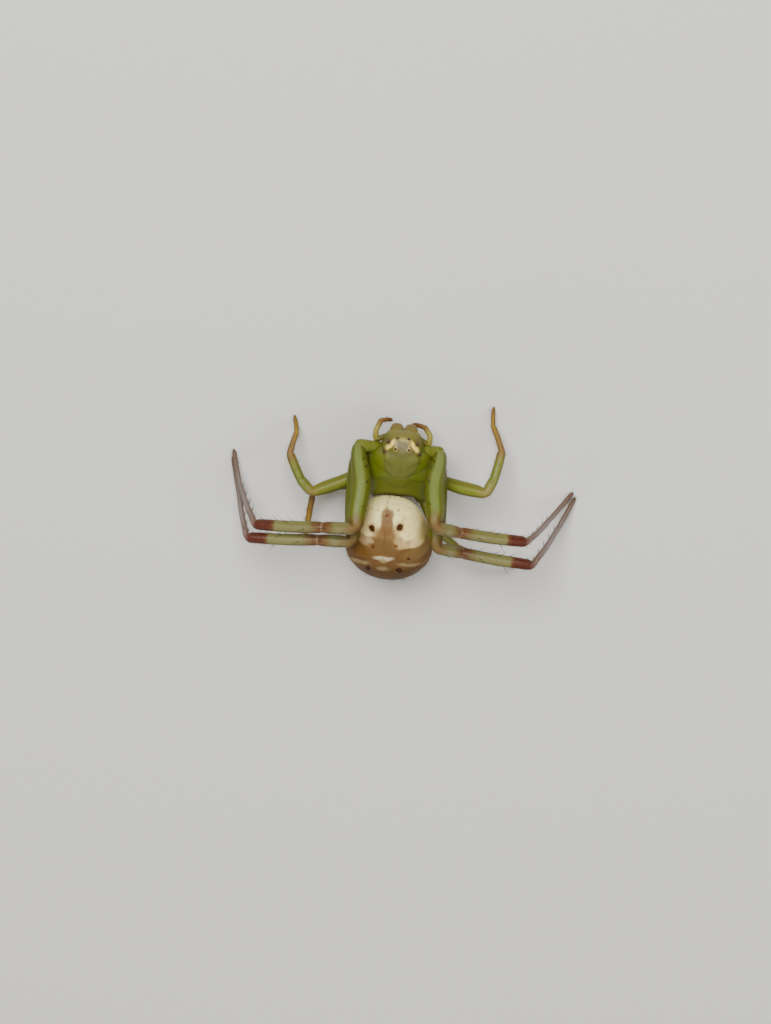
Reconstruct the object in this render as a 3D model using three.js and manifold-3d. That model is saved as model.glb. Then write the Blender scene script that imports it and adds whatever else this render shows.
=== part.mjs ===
// Crab spider: a still, life-size model of a female flower spider, standing on a flat floor.
// Millimetres, +Z up. The head looks along -Y and the spider's left side is at +X.
// The origin is on the floor, under the middle of the space that the spider takes up.
import * as THREE from "three";
import { mergeVertices } from "three/addons/utils/BufferGeometryUtils.js";
import Module from "manifold-3d";

const wasm = await Module();
wasm.setup();

// Driving sizes, in millimetres and degrees.
// The soft skin between two plates shows as a gap of this width.
const JOINT_GAP = 0.08;
const EYE_GAP = 0.02;

// The carapace is a dome, swept from its rear edge to the face in a frame of its own:
// the distance forward of the rear edge, the half width, the height of the back and of the underside.
const CARAPACE = {
  pitch: 10,
  rearSeat: [0, 0.1, 0.65],
  stations: [
    [-0.2, 0.0, 0.44, 0.44],
    [-0.185, 0.88, 0.6, 0.3],
    [-0.1, 1.1, 0.8, 0.2],
    [0.15, 1.21, 1.05, 0.09],
    [0.65, 1.27, 1.3, 0.02],
    [1.15, 1.28, 1.38, 0.0],
    [1.6, 1.16, 1.37, 0.02],
    [1.86, 0.84, 1.31, 0.06],
    [2.05, 0.74, 1.22, 0.12],
    [2.22, 0.685, 1.12, 0.22],
    [2.38, 0.615, 0.96, 0.34],
    [2.47, 0.54, 0.8, 0.42],
    [2.51, 0.42, 0.68, 0.48],
    [2.52, 0.0, 0.58, 0.58],
  ],
  marginLevel: 0.36,
  topSquareness: 0.84,
  undersidePinch: 0.5,
  sides: 32,
  rings: 24,
};

// The abdomen, swept from front to rear about its own axis:
// the distance along the axis, the half width, the height above the axis and the depth below it.
const ABDOMEN = {
  pitch: 12,
  yaw: 2,
  roll: 5,
  centre: [0.165, 1.966, 1.62],
  stations: [
    [-1.66, 0.0, 0.0, 0.0],
    [-1.6, 0.5, 0.45, 0.35],
    [-1.42, 0.86, 0.8, 0.7],
    [-1.05, 1.17, 1.1, 1.0],
    [-0.5, 1.44, 1.32, 1.22],
    [0.15, 1.64, 1.38, 1.3],
    [0.7, 1.6, 1.25, 1.2],
    [1.17, 1.28, 0.98, 1.0],
    [1.48, 0.9, 0.66, 0.75],
    [1.64, 0.52, 0.34, 0.45],
    [1.7, 0.0, 0.0, 0.0],
  ],
  sides: 30,
  rings: 22,
};
const PEDICEL = { radius: 0.15, from: [0, 0.16, 1.02], to: [0.02, 0.9, 1.2] };

// Spinnerets under the abdomen's tip: the offset from the tip of the axis, the radius and the length.
const SPINNERETS = { side: 0.13, drop: 0.42, back: 1.3, radius: 0.11, length: 0.52, rise: -8 };

// The eyes, in two rows of four: the distance from the middle line, the distance forward and the radius.
const EYES = {
  front_middle: [0.215, 2.39, 0.055],
  front_side: [0.525, 2.22, 0.066],
  rear_middle: [0.26, 2.05, 0.055],
  rear_side: [0.65, 1.86, 0.06],
};
const EYE_SINK = 0.015;

// Jaws and fangs, in the carapace's frame: the distance from the middle line, forward and up.
const JAW = {
  root: [0.27, 2.22, 0.6],
  tip: [0.26, 2.37, -0.1],
  radius: 0.28,
  fangTip: [0.07, 2.3, -0.24],
  halfGap: 0.02,
  squareness: 0.78,
  fangRadius: 0.05,
};

// Feelers: the seat in the carapace's frame, then each joint as its length, heading and rise.
// A heading of 0 looks forward, 90 straight out to the leg's own side and 180 back.
const FEELER_RADII = [0.11, 0.11, 0.105, 0.09];
const FEELERS = {
  left: {
    seat: [0.42, 2.2, 0.25],
    joints: [[0.68, 114, 6], [0.38, 2, -8], [0.42, -26, -32], [0.54, -95, -38]],
  },
  right: {
    seat: [0.42, 2.2, 0.25],
    joints: [[0.66, 120, 4], [0.38, 3, -10], [0.43, -45, -42], [0.62, -95, -38]],
  },
};

// The four pairs of legs: the seat of the thigh in the carapace's frame, where the hip leaves the body,
// the lengths of thigh, knee piece, shin, foot and toe, and their radii with the hip's first.
const LEGS = {
  1: {
    seat: [1.56, 1.85, 0.77],
    hip: [0.45, 1.52, 0.22],
    lengths: [3.34, 1.33, 2.75, 2.12, 1.38],
    radii: [0.25, 0.35, 0.235, 0.225, 0.11, 0.095],
  },
  2: {
    seat: [1.61, 1.22, 0.5],
    hip: [0.5, 1.2, 0.2],
    lengths: [3.31, 1.31, 2.76, 2.21, 1.36],
    radii: [0.24, 0.325, 0.235, 0.225, 0.11, 0.095],
  },
  3: {
    seat: [1.42, 0.52, 0.38],
    hip: [0.5, 0.8, 0.2],
    lengths: [2.06, 0.68, 1.11, 1.1, 0.72],
    radii: [0.22, 0.25, 0.2, 0.18, 0.115, 0.085],
  },
  4: {
    seat: [1.0, -0.285, 0.14],
    hip: [0.4, 0.36, 0.12],
    lengths: [1.7, 0.62, 1.15, 1.04, 0.63],
    radii: [0.24, 0.2, 0.15, 0.12, 0.095, 0.075],
  },
};
// How far the middle of each pair's thighs bows, as a share of the thigh's length.
const THIGH_BOWS = { 1: 0.048, 2: 0.0, 3: 0.02, 4: 0.02 };
// How far the hips are swung from their mirrored places: across, forward and up. The front two pairs
// are held a little to the spider's left, and the hindmost right leg points further back.
const HIP_SWINGS = {
  left: { 1: [0.105, 0, 0], 2: [0.105, 0, 0], 3: [0, 0, 0], 4: [0.08, 0.235, 0.06] },
  right: { 1: [-0.119, 0, 0], 2: [-0.119, 0, 0], 3: [0, 0, 0], 4: [-0.08, -0.235, -0.06] },
};

// The pose: heading and rise of thigh, knee piece, shin and foot, and the heading of the toe,
// whose rise follows from the floor that it reaches.
const POSE = {
  left: {
    1: [[185, 37], [101, -23], [98, -15], [37, -53], [19]],
    2: [[184, 31], [96, -11], [96, -7], [23, -52], [18]],
    3: [[116, 9], [44, 0], [26, 1], [-16, -57], [18]],
    4: [[100, -8], [127, 12], [175, -1], [175, -28], [105]],
  },
  right: {
    1: [[180, 51], [113, -40], [98, -16], [63, -61], [43]],
    2: [[178, 36], [110, -37], [95, -1], [41, -51], [28]],
    3: [[94, 24], [27, -32], [12, -30], [-28, -36], [-3]],
    4: [[143, 12], [124, 2], [111, -9], [107, -23], [110]],
  },
};
// The middle of each toe's tip is this high, well under its radius, so the foot ends in a small flat.
const TIP_HEIGHT = 0.005;

// Spines on the two front pairs of legs: how many along the piece, between which fractions of its length,
// the turns about it from the side that faces into the bend, the lean from its length, the length and radius.
const SPINES = {
  thigh: { count: 4, from: 0.42, to: 0.72, turns: [0], lean: 55, length: 0.2, radius: 0.03 },
  shin: { count: 4, from: 0.22, to: 0.86, turns: [-24, 24], lean: 42, length: 0.36, radius: 0.03 },
  foot: { count: 5, from: 0.1, to: 0.88, turns: [-26, 26], lean: 40, length: 0.3, radius: 0.026 },
};
const SPINE_SEED = 4127;
const SPINE_SIDES = 4;
// How far from the limb's middle line a spine starts, as a share of the limb's radius.
const SPINE_ROOT = 0.6;

const SIDES = { left: 1, right: -1 };

const COLOURS = {
  carapace: 0x77812c,
  abdomen: 0xe0cfa2,
  eye: 0x2a1712,
  jaw: 0x8c7a55,
  feeler: 0xa39468,
  thigh: 0x83914a,
  shin: 0xa39a5a,
  foot: 0xa37c58,
  spinneret: 0x8a6b45,
};

const rad = THREE.MathUtils.degToRad;
const xyz = (values) => new THREE.Vector3(...values);

// Closed geometry becomes a solid once its shared corners are merged and its empty triangles are gone.
function toSolid(geometry) {
  const bare = geometry.clone();
  bare.deleteAttribute("normal");
  bare.deleteAttribute("uv");
  const merged = mergeVertices(bare, 1e-5);
  const corners = merged.index.array;
  const triangles = [];
  for (let i = 0; i < corners.length; i += 3) {
    const [a, b, c] = corners.slice(i, i + 3);
    if (a !== b && b !== c && c !== a) triangles.push(a, b, c);
  }
  const mesh = new wasm.Mesh({
    numProp: 3,
    vertProperties: Float32Array.from(merged.attributes.position.array),
    triVerts: Uint32Array.from(triangles),
  });
  return new wasm.Manifold(mesh);
}

function toGeometry(solid) {
  const mesh = solid.getMesh();
  const geometry = new THREE.BufferGeometry();
  geometry.setAttribute("position", new THREE.BufferAttribute(mesh.vertProperties, 3));
  geometry.setIndex(new THREE.BufferAttribute(mesh.triVerts, 1));
  geometry.computeVertexNormals();
  return geometry;
}

const join = (solids) => solids.reduce((whole, solid) => whole.add(solid));

// A cut can leave a loose scrap, so only the largest closed surface stays.
function largest(solid) {
  const pieces = solid.decompose();
  return pieces.reduce((best, piece) => (piece.volume() > best.volume() ? piece : best));
}

// A smooth run of values through a list of stations, read at a fraction from 0 to 1.
function smoothRun(stations) {
  const width = stations[0].length;
  const places = stations.map((_, i) => i / (stations.length - 1));
  const run = new THREE.CubicInterpolant(places, stations.flat(), width);
  return (fraction) => Array.from(run.evaluate(fraction));
}

// A body form is a sphere whose rings are moved onto the stations, its poles at the two ends.
// section(values, turn, grow) gives the across, along and up place of a point of one ring.
function sweptForm(stations, section, frame, sides, rings, grow) {
  const run = smoothRun(stations);
  const geometry = new THREE.SphereGeometry(1, sides, rings);
  const points = geometry.attributes.position;
  for (let i = 0; i < points.count; i += 1) {
    const ring = Math.floor(i / (sides + 1));
    const turn = ((i % (sides + 1)) / sides) * 2 * Math.PI;
    const place = section(run(ring / rings), turn, grow, ring === 0, ring === rings);
    place.applyMatrix4(frame);
    points.setXYZ(i, place.x, place.y, place.z);
  }
  return geometry;
}

const signedPower = (value, power) => Math.sign(value) * Math.abs(value) ** power;

// The carapace's frame: across, forward and up, pitched so that the head is held up.
const carapaceFrame = new THREE.Matrix4()
  .makeTranslation(...CARAPACE.rearSeat)
  .multiply(new THREE.Matrix4().makeRotationX(-rad(CARAPACE.pitch)))
  .multiply(new THREE.Matrix4().makeScale(1, -1, 1));
const onCarapace = (side, [across, forward, up]) =>
  new THREE.Vector3(across * side, forward, up).applyMatrix4(carapaceFrame);

// One point of the carapace's section: a squared dome above its margin, pinched in to the underside.
function carapacePoint([forward, half, top, under], turn, grow, atRear, atFace) {
  const out = atRear || atFace ? 0 : grow;
  const margin = under + CARAPACE.marginLevel * (top - under);
  const across = Math.cos(turn);
  const up = Math.sin(turn);
  const pinch = up < 0 ? 1 - CARAPACE.undersidePinch * Math.abs(up) ** 0.6 : 1;
  const reach = up > 0 ? top - margin : margin - under;
  const end = atRear ? -grow : atFace ? grow : 0;
  return new THREE.Vector3(
    -(half + out) * signedPower(across, up > 0 ? CARAPACE.topSquareness : 1) * pinch,
    forward + end,
    margin + (reach + out) * signedPower(up, up > 0 ? CARAPACE.topSquareness : 1),
  );
}

const carapaceSolid = (grow) =>
  toSolid(
    sweptForm(CARAPACE.stations, carapacePoint, carapaceFrame, CARAPACE.sides, CARAPACE.rings, grow),
  );

// The height of the carapace's back over a point given by its distance across and forward.
function backHeight(across, forward) {
  const run = smoothRun(CARAPACE.stations);
  let low = 0;
  let high = 1;
  for (let step = 0; step < 40; step += 1) {
    const middle = (low + high) / 2;
    if (run(middle)[0] < forward) low = middle;
    else high = middle;
  }
  const values = run(low);
  const [, half, top, under] = values;
  const margin = under + CARAPACE.marginLevel * (top - under);
  const cosine = Math.min(1, across / half) ** (1 / CARAPACE.topSquareness);
  const sine = Math.sqrt(1 - cosine * cosine);
  return margin + (top - margin) * sine ** CARAPACE.topSquareness;
}

// The abdomen's frame: its axis runs back along +Y and droops to the rear.
const abdomenFrame = new THREE.Matrix4()
  .makeTranslation(...ABDOMEN.centre)
  .multiply(new THREE.Matrix4().makeRotationZ(rad(ABDOMEN.yaw)))
  .multiply(new THREE.Matrix4().makeRotationX(-rad(ABDOMEN.pitch)))
  .multiply(new THREE.Matrix4().makeRotationY(rad(ABDOMEN.roll)));

function abdomenPoint([along, half, above, below], turn, grow, atFront, atRear) {
  const out = atFront || atRear ? 0 : grow;
  const end = atFront ? -grow : atRear ? grow : 0;
  const up = Math.sin(turn);
  return new THREE.Vector3(
    (half + out) * signedPower(Math.cos(turn), 0.95),
    along + end,
    ((up > 0 ? above : below) + out) * signedPower(up, 0.95),
  );
}

const abdomenForm = (grow) =>
  toSolid(
    sweptForm(ABDOMEN.stations, abdomenPoint, abdomenFrame, ABDOMEN.sides, ABDOMEN.rings, grow),
  );

// A limb piece is a turned shape between two points, with rounded ends.
// Each profile pair is the fraction of the length and of the radius, and grow swells it all round.
// bow moves the middle of the piece aside and leaves its ends where they are.
// squareness below one gives the piece flatter sides and rounded corners.
function limbPiece(start, end, radius, profile, sides, grow = 0, bow = null, squareness = 1) {
  const length = start.distanceTo(end);
  const outline = [new THREE.Vector2(0, length * profile[0][0] - grow)];
  for (const [fraction, share] of profile) {
    outline.push(new THREE.Vector2(radius * share + grow, length * fraction));
  }
  outline.push(new THREE.Vector2(0, length * profile.at(-1)[0] + grow));
  const geometry = new THREE.LatheGeometry(outline, sides);
  const way = end.clone().sub(start).normalize();
  const points = geometry.attributes.position;
  const places = Array.from({ length: points.count }, (_, i) => points.getY(i) / length);
  if (squareness < 1) {
    for (let i = 0; i < points.count; i += 1) {
      const reach = Math.max(Math.hypot(points.getX(i), points.getZ(i)), 1e-6);
      points.setX(i, reach * signedPower(points.getX(i) / reach, squareness));
      points.setZ(i, reach * signedPower(points.getZ(i) / reach, squareness));
    }
  }
  geometry.applyQuaternion(new THREE.Quaternion().setFromUnitVectors(new THREE.Vector3(0, 1, 0), way));
  geometry.translate(start.x, start.y, start.z);
  if (bow) {
    places.forEach((place, i) => {
      const share = Math.sin(Math.PI * Math.min(1, Math.max(0, place))) ** 2;
      points.setXYZ(
        i,
        points.getX(i) + share * bow.x,
        points.getY(i) + share * bow.y,
        points.getZ(i) + share * bow.z,
      );
    });
  }
  return toSolid(geometry);
}

const ball = (centre, radius, sides = 10) => {
  const geometry = new THREE.SphereGeometry(radius, sides, Math.max(4, Math.round(sides * 0.6)));
  geometry.translate(centre.x, centre.y, centre.z);
  return toSolid(geometry);
};

const THIGH_PROFILE = [
  [0, 0.48], [0.04, 0.68], [0.1, 0.8], [0.17, 0.88], [0.34, 1], [0.55, 1.06], [0.76, 1], [0.9, 0.87], [1, 0.66],
];
const KNEE_PROFILE = [[-0.12, 0.45], [-0.06, 0.78], [0.08, 0.95], [0.45, 1], [0.88, 0.95], [1, 0.85]];
const SHIN_PROFILE = [[0, 0.85], [0.08, 0.98], [0.4, 1], [0.85, 0.93], [1, 0.78]];
const FOOT_PROFILE = [[-0.06, 0.5], [-0.02, 0.9], [0.08, 1.05], [0.5, 0.95], [0.94, 0.86], [1, 0.75]];
const TOE_PROFILE = [[0, 0.88], [0.1, 1], [0.6, 0.92], [0.92, 0.85], [1, 0.6]];
const PALP_PROFILE = [[0, 0.75], [0.1, 0.92], [0.45, 1], [0.9, 0.95], [1, 0.82]];
const JAW_PROFILE = [[0, 0.6], [0.15, 0.9], [0.45, 1], [0.8, 0.85], [1, 0.55]];
const HIP_PROFILE = [[0, 0.8], [0.3, 1], [0.8, 1], [1, 0.86], [1.1, 0.5]];

// A step of a given length from a joint, by heading and rise.
function stepFrom(joint, side, length, heading, rise) {
  const flat = Math.cos(rad(rise)) * length;
  return new THREE.Vector3(
    joint.x + side * Math.sin(rad(heading)) * flat,
    joint.y - Math.cos(rad(heading)) * flat,
    joint.z + Math.sin(rad(rise)) * length,
  );
}

// A small seeded draw from 0 to 1, so that the spines are the same in every build.
function seededDraw(seed) {
  let state = seed;
  return () => {
    state = (state * 16807) % 2147483647;
    return state / 2147483647;
  };
}
const draw = seededDraw(SPINE_SEED);

// One spine: a thin pointed cone whose root is sunk into the limb that it grows from.
function spine(root, way, length, radius) {
  const cone = new THREE.ConeGeometry(radius, length, SPINE_SIDES);
  cone.translate(0, length / 2, 0);
  cone.applyQuaternion(new THREE.Quaternion().setFromUnitVectors(new THREE.Vector3(0, 1, 0), way));
  cone.translate(root.x, root.y, root.z);
  return toSolid(cone);
}

// Rows of spines along a limb, on the side that faces into its bend, leaning towards its end.
function spineRows(start, end, limbRadius, inward, rows) {
  const along = end.clone().sub(start).normalize();
  const face = inward.clone().addScaledVector(along, -inward.dot(along)).normalize();
  const spines = [];
  for (let i = 0; i < rows.count; i += 1) {
    const fraction = rows.from + ((rows.to - rows.from) * i) / (rows.count - 1);
    for (const turn of rows.turns) {
      const out = face.clone().applyAxisAngle(along, rad(turn + (draw() - 0.5) * 10));
      const lean = rad(rows.lean + (draw() - 0.5) * 10);
      const way = out.clone().multiplyScalar(Math.sin(lean)).addScaledVector(along, Math.cos(lean));
      const place = start.clone().lerp(end, fraction + (draw() - 0.5) * 0.03);
      const root = place.addScaledVector(out, limbRadius * SPINE_ROOT);
      const length = rows.length * (0.85 + 0.3 * draw());
      spines.push(spine(root, way, length + limbRadius * (1 - SPINE_ROOT), rows.radius));
    }
  }
  return spines;
}

function thighSeat(pair, side) {
  const swing = HIP_SWINGS[side > 0 ? "left" : "right"][pair];
  return onCarapace(side, LEGS[pair].seat.map((value, i) => value + swing[i]));
}

// The six joints of one leg, from the thigh's seat to the toe's tip on the floor.
function legJoints(pair, side, pose) {
  const { lengths } = LEGS[pair];
  const joints = [thighSeat(pair, side)];
  for (let i = 0; i < 4; i += 1) {
    joints.push(stepFrom(joints[i], side, lengths[i], ...pose[i]));
  }
  const drop = Math.asin((TIP_HEIGHT - joints[4].z) / lengths[4]);
  joints.push(stepFrom(joints[4], side, lengths[4], pose[4][0], THREE.MathUtils.radToDeg(drop)));
  return joints;
}

// A thigh bows away from the side that the knee bends to.
function thighBow(pair, [seat, knee, kneeEnd]) {
  const way = knee.clone().sub(seat);
  const bend = kneeEnd.clone().sub(knee);
  const aside = bend.addScaledVector(way, -bend.dot(way) / way.lengthSq()).normalize();
  return aside.multiplyScalar(-THIGH_BOWS[pair] * way.length());
}

// The four pieces of one leg as solids, each swollen by grow.
function legSolids(pair, side, joints, grow) {
  const { hip, radii } = LEGS[pair];
  const [hipR, thighR, kneeR, shinR, footR, toeR] = radii;
  const sides = pair < 3 ? 12 : 9;
  const [seat, knee, kneeEnd, ankle, footEnd, tip] = joints;
  return {
    hip: limbPiece(onCarapace(side, hip), seat, hipR, HIP_PROFILE, sides, grow),
    thigh: limbPiece(seat, knee, thighR, THIGH_PROFILE, sides, grow, thighBow(pair, joints)),
    shin: join([
      limbPiece(knee, kneeEnd, kneeR, KNEE_PROFILE, sides, grow),
      limbPiece(kneeEnd, ankle, shinR, SHIN_PROFILE, sides, grow),
    ]),
    foot: join([
      limbPiece(ankle, footEnd, footR, FOOT_PROFILE, 8, grow),
      limbPiece(footEnd, tip, toeR, TOE_PROFILE, 8, grow),
    ]),
  };
}

// The spines of one leg: a few short ones inside the front thigh, and two rows on shin and foot.
function legSpines(pair, side, joints) {
  const { radii } = LEGS[pair];
  const [seat, knee, kneeEnd, ankle, footEnd] = joints;
  const footWay = footEnd.clone().sub(ankle).normalize();
  const shinBack = kneeEnd.clone().sub(ankle).normalize();
  const towardMiddle = new THREE.Vector3(-side, 0, 0.35);
  return {
    thigh: pair === 1 ? spineRows(seat, knee, radii[1], towardMiddle, SPINES.thigh) : [],
    shin: spineRows(kneeEnd, ankle, radii[3], footWay, SPINES.shin),
    foot: spineRows(ankle, footEnd, radii[4], shinBack, SPINES.foot),
  };
}

// Everything below the floor is cut away, which leaves the flats that the feet stand on.
function cutAtFloor(solid) {
  const slab = new THREE.BoxGeometry(30, 30, 2);
  slab.translate(0, 0, -1);
  return solid.subtract(toSolid(slab));
}

const spider = new THREE.Group();

function addNode(name, solid, colour, roughness = 0.5) {
  const material = new THREE.MeshStandardMaterial({ color: colour, roughness, metalness: 0 });
  const mesh = new THREE.Mesh(toGeometry(largest(solid)), material);
  mesh.name = name;
  spider.add(mesh);
}

// The eyes sit in sockets of the carapace.
const eyeSockets = [];
for (const [row, [across, forward, radius]] of Object.entries(EYES)) {
  for (const [sideName, side] of Object.entries(SIDES)) {
    const height = backHeight(across, forward);
    const slopeOut = (backHeight(across + 0.02, forward) - backHeight(across - 0.02, forward)) / 0.04;
    const slopeOn = (backHeight(across, forward + 0.02) - backHeight(across, forward - 0.02)) / 0.04;
    const outward = new THREE.Vector3(-slopeOut, -slopeOn, 1).normalize().multiplyScalar(EYE_SINK);
    const centre = onCarapace(side, [across - outward.x, forward - outward.y, height - outward.z]);
    addNode(`eye_${row}_${sideName}`, ball(centre, radius, 10), COLOURS.eye, 0.1);
    eyeSockets.push(ball(centre, radius + EYE_GAP, 10));
  }
}
addNode("carapace", carapaceSolid(0).subtract(join(eyeSockets)), COLOURS.carapace, 0.35);
const bodyRoom = carapaceSolid(JOINT_GAP);

// The abdomen and the narrow waist that carries it.
const waist = limbPiece(xyz(PEDICEL.from), xyz(PEDICEL.to), PEDICEL.radius, HIP_PROFILE, 10);
addNode("abdomen", abdomenForm(0).add(waist).subtract(bodyRoom), COLOURS.abdomen, 0.4);
const abdomenRoom = abdomenForm(JOINT_GAP);

// Two pairs of spinnerets, rooted together under the abdomen's tip.
const spinnerets = [];
for (const [spread, lift, share] of [[1, 0, 1], [0.7, 0.16, 0.75]]) {
  for (const side of Object.values(SIDES)) {
    const { side: apart, drop, back, radius, length, rise } = SPINNERETS;
    const root = new THREE.Vector3(side * apart * spread, back, -drop + lift).applyMatrix4(abdomenFrame);
    const way = new THREE.Vector3(0, Math.cos(rad(rise)), Math.sin(rad(rise)));
    const end = root.clone().addScaledVector(way, length * share);
    spinnerets.push(limbPiece(root, end, radius, [[0, 1], [0.5, 1], [0.85, 0.75], [1, 0.4]], 10));
  }
}
addNode("spinnerets", join(spinnerets).subtract(abdomenRoom), COLOURS.spinneret);

// Jaws with their fangs, below the face.
const jawRoom = [];
const middleRoom = toSolid(new THREE.BoxGeometry(2 * JAW.halfGap, 8, 8));
for (const [sideName, side] of Object.entries(SIDES)) {
  const makeJaw = (grow) => {
    const root = onCarapace(side, JAW.root);
    const tip = onCarapace(side, JAW.tip);
    const fangTip = onCarapace(side, JAW.fangTip);
    const fangRoot = tip.clone().lerp(root, 0.12);
    return join([
      limbPiece(root, tip, JAW.radius, JAW_PROFILE, 16, grow, null, JAW.squareness),
      limbPiece(fangRoot, fangTip, JAW.fangRadius, [[0, 1], [0.5, 0.8], [0.9, 0.4], [1, 0.2]], 8, grow),
    ]);
  };
  addNode(`jaw_${sideName}`, makeJaw(0).subtract(bodyRoom).subtract(middleRoom), COLOURS.jaw);
  jawRoom.push(makeJaw(JOINT_GAP));
}

// Feelers beside the jaws.
const feelerRoom = {};
for (const [sideName, side] of Object.entries(SIDES)) {
  const { seat, joints } = FEELERS[sideName];
  const makeFeeler = (grow) => {
    const pieces = [];
    let place = onCarapace(side, seat);
    joints.forEach(([length, heading, rise], i) => {
      const next = stepFrom(place, side, length, heading, rise);
      const profile = i === 3 ? TOE_PROFILE : PALP_PROFILE;
      pieces.push(limbPiece(place, next, FEELER_RADII[i], profile, 8, grow));
      pieces.push(ball(place, FEELER_RADII[i] * 0.9 + grow, 8));
      place = next;
    });
    return join(pieces);
  };
  addNode(`feeler_${sideName}`, makeFeeler(0).subtract(bodyRoom).subtract(join(jawRoom)), COLOURS.feeler);
  feelerRoom[sideName] = makeFeeler(JOINT_GAP);
}

// Legs: each piece is cut clear of the next one out, and hips and thighs of the body, the feeler
// and the leg in front of them.
for (const [sideName, side] of Object.entries(SIDES)) {
  let taken = bodyRoom.add(feelerRoom[sideName]);
  for (const pair of [1, 2, 3, 4]) {
    const joints = legJoints(pair, side, POSE[sideName][pair]);
    const solid = legSolids(pair, side, joints, 0);
    const room = legSolids(pair, side, joints, JOINT_GAP);
    const name = `leg_${pair}_${sideName}`;
    const spines = pair < 3 ? legSpines(pair, side, joints) : { thigh: [], shin: [], foot: [] };
    const hip = solid.hip.subtract(taken).subtract(room.thigh);
    const thigh = solid.thigh.subtract(taken).subtract(room.shin);
    addNode(`${name}_hip`, hip, COLOURS.thigh);
    addNode(`${name}_thigh`, join([thigh, ...spines.thigh]), COLOURS.thigh);
    addNode(`${name}_shin`, join([solid.shin.subtract(room.foot), ...spines.shin]), COLOURS.shin);
    addNode(`${name}_foot`, cutAtFloor(join([solid.foot, ...spines.foot])), COLOURS.foot);
    taken = taken.add(room.hip).add(room.thigh);
  }
}

// The origin goes to the middle of the whole box, on the floor.
const room = new THREE.Box3().setFromObject(spider, true);
const middle = room.getCenter(new THREE.Vector3());
for (const mesh of spider.children) {
  mesh.geometry.translate(-middle.x, -middle.y, 0);
}

export default spider;
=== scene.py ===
import math
from math import radians

import bpy
import numpy as np
from bpy.props import FloatProperty, FloatVectorProperty, IntProperty, PointerProperty
from mathutils import Matrix, Vector
from mathutils.kdtree import KDTree


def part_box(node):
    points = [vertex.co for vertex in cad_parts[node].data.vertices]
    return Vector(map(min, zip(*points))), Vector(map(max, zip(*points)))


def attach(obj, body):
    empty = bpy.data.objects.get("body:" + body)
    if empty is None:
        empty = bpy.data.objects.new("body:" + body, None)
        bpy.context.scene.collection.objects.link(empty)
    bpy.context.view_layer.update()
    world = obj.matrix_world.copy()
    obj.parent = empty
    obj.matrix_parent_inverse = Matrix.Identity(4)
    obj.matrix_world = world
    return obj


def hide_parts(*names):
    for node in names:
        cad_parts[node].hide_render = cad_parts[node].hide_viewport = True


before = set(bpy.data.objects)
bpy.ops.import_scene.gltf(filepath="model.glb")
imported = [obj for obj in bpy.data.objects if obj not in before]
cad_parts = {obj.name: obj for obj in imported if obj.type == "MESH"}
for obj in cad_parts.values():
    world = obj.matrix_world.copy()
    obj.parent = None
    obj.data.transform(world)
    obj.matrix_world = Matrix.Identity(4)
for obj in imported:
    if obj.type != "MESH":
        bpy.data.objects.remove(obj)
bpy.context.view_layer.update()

bl_info = {
    "name": "Crab spider",
    "version": (1, 0, 0),
    "blender": (4, 5, 0),
    "location": "View3D > Sidebar > Crab spider",
    "description": "Dresses the packed crab spider in skin, eyes, jaws, spines and hair",
    "category": "Object",
}

MM = 0.001
SIDES = {"left": 1, "right": -1}
UP = np.array([0.0, 0.0, 1.0])

# Sizes of the body, in millimetres and degrees, in the body's own frame: +Z up, the head along -Y.
# The carapace: how far its head end is raised, the place of its rear edge, and its outline as
# distance forward of that edge, half width, height of the back and of the underside.
CARAPACE_PITCH = 10
CARAPACE_REAR = (0.0, 0.1, 0.65)
CARAPACE = (
    (-0.2, 0.0, 0.44, 0.44),
    (-0.185, 0.88, 0.6, 0.3),
    (-0.1, 1.1, 0.8, 0.2),
    (0.15, 1.21, 1.05, 0.09),
    (0.65, 1.27, 1.3, 0.02),
    (1.15, 1.28, 1.38, 0.0),
    (1.6, 1.16, 1.37, 0.02),
    (1.86, 0.84, 1.31, 0.06),
    (2.05, 0.74, 1.22, 0.12),
    (2.22, 0.685, 1.12, 0.22),
    (2.38, 0.615, 0.96, 0.34),
    (2.47, 0.54, 0.8, 0.42),
    (2.51, 0.42, 0.68, 0.48),
    (2.52, 0.0, 0.58, 0.58),
)
# The margin's level between underside and back, how square the back is, how far the underside is
# drawn in and how soon.
MARGIN_LEVEL = 0.36
TOP_SQUARENESS = 0.84
UNDERSIDE_PINCH = 0.5
PINCH_CURVE = 0.6

# The abdomen: its turns and centre, and its outline as distance along its axis, half width,
# height above the axis and depth below it.
ABDOMEN_TURNS = {"pitch": 12, "yaw": 2, "roll": 5}
ABDOMEN_CENTRE = (0.165, 1.966, 1.62)
ABDOMEN = (
    (-1.66, 0.0, 0.0, 0.0),
    (-1.6, 0.5, 0.45, 0.35),
    (-1.42, 0.86, 0.8, 0.7),
    (-1.05, 1.17, 1.1, 1.0),
    (-0.5, 1.44, 1.32, 1.22),
    (0.15, 1.64, 1.38, 1.3),
    (0.7, 1.6, 1.25, 1.2),
    (1.17, 1.28, 0.98, 1.0),
    (1.48, 0.9, 0.66, 0.75),
    (1.64, 0.52, 0.34, 0.45),
    (1.7, 0.0, 0.0, 0.0),
)
ABDOMEN_SQUARENESS = 0.95
WAIST = {"radius": 0.15, "start": (0.0, 0.1, 1.02), "end": (0.02, 0.9, 1.2)}
SPINNERETS = {"side": 0.13, "drop": 0.42, "back": 1.3, "radius": 0.11, "length": 0.52, "rise": -8}

# Eyes: distance from the middle line, distance forward, radius of the lens.
EYES = {
    "front_middle": (0.215, 2.39, 0.055),
    "front_side": (0.525, 2.22, 0.066),
    "rear_middle": (0.26, 2.05, 0.055),
    "rear_side": (0.65, 1.86, 0.06),
}
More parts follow.
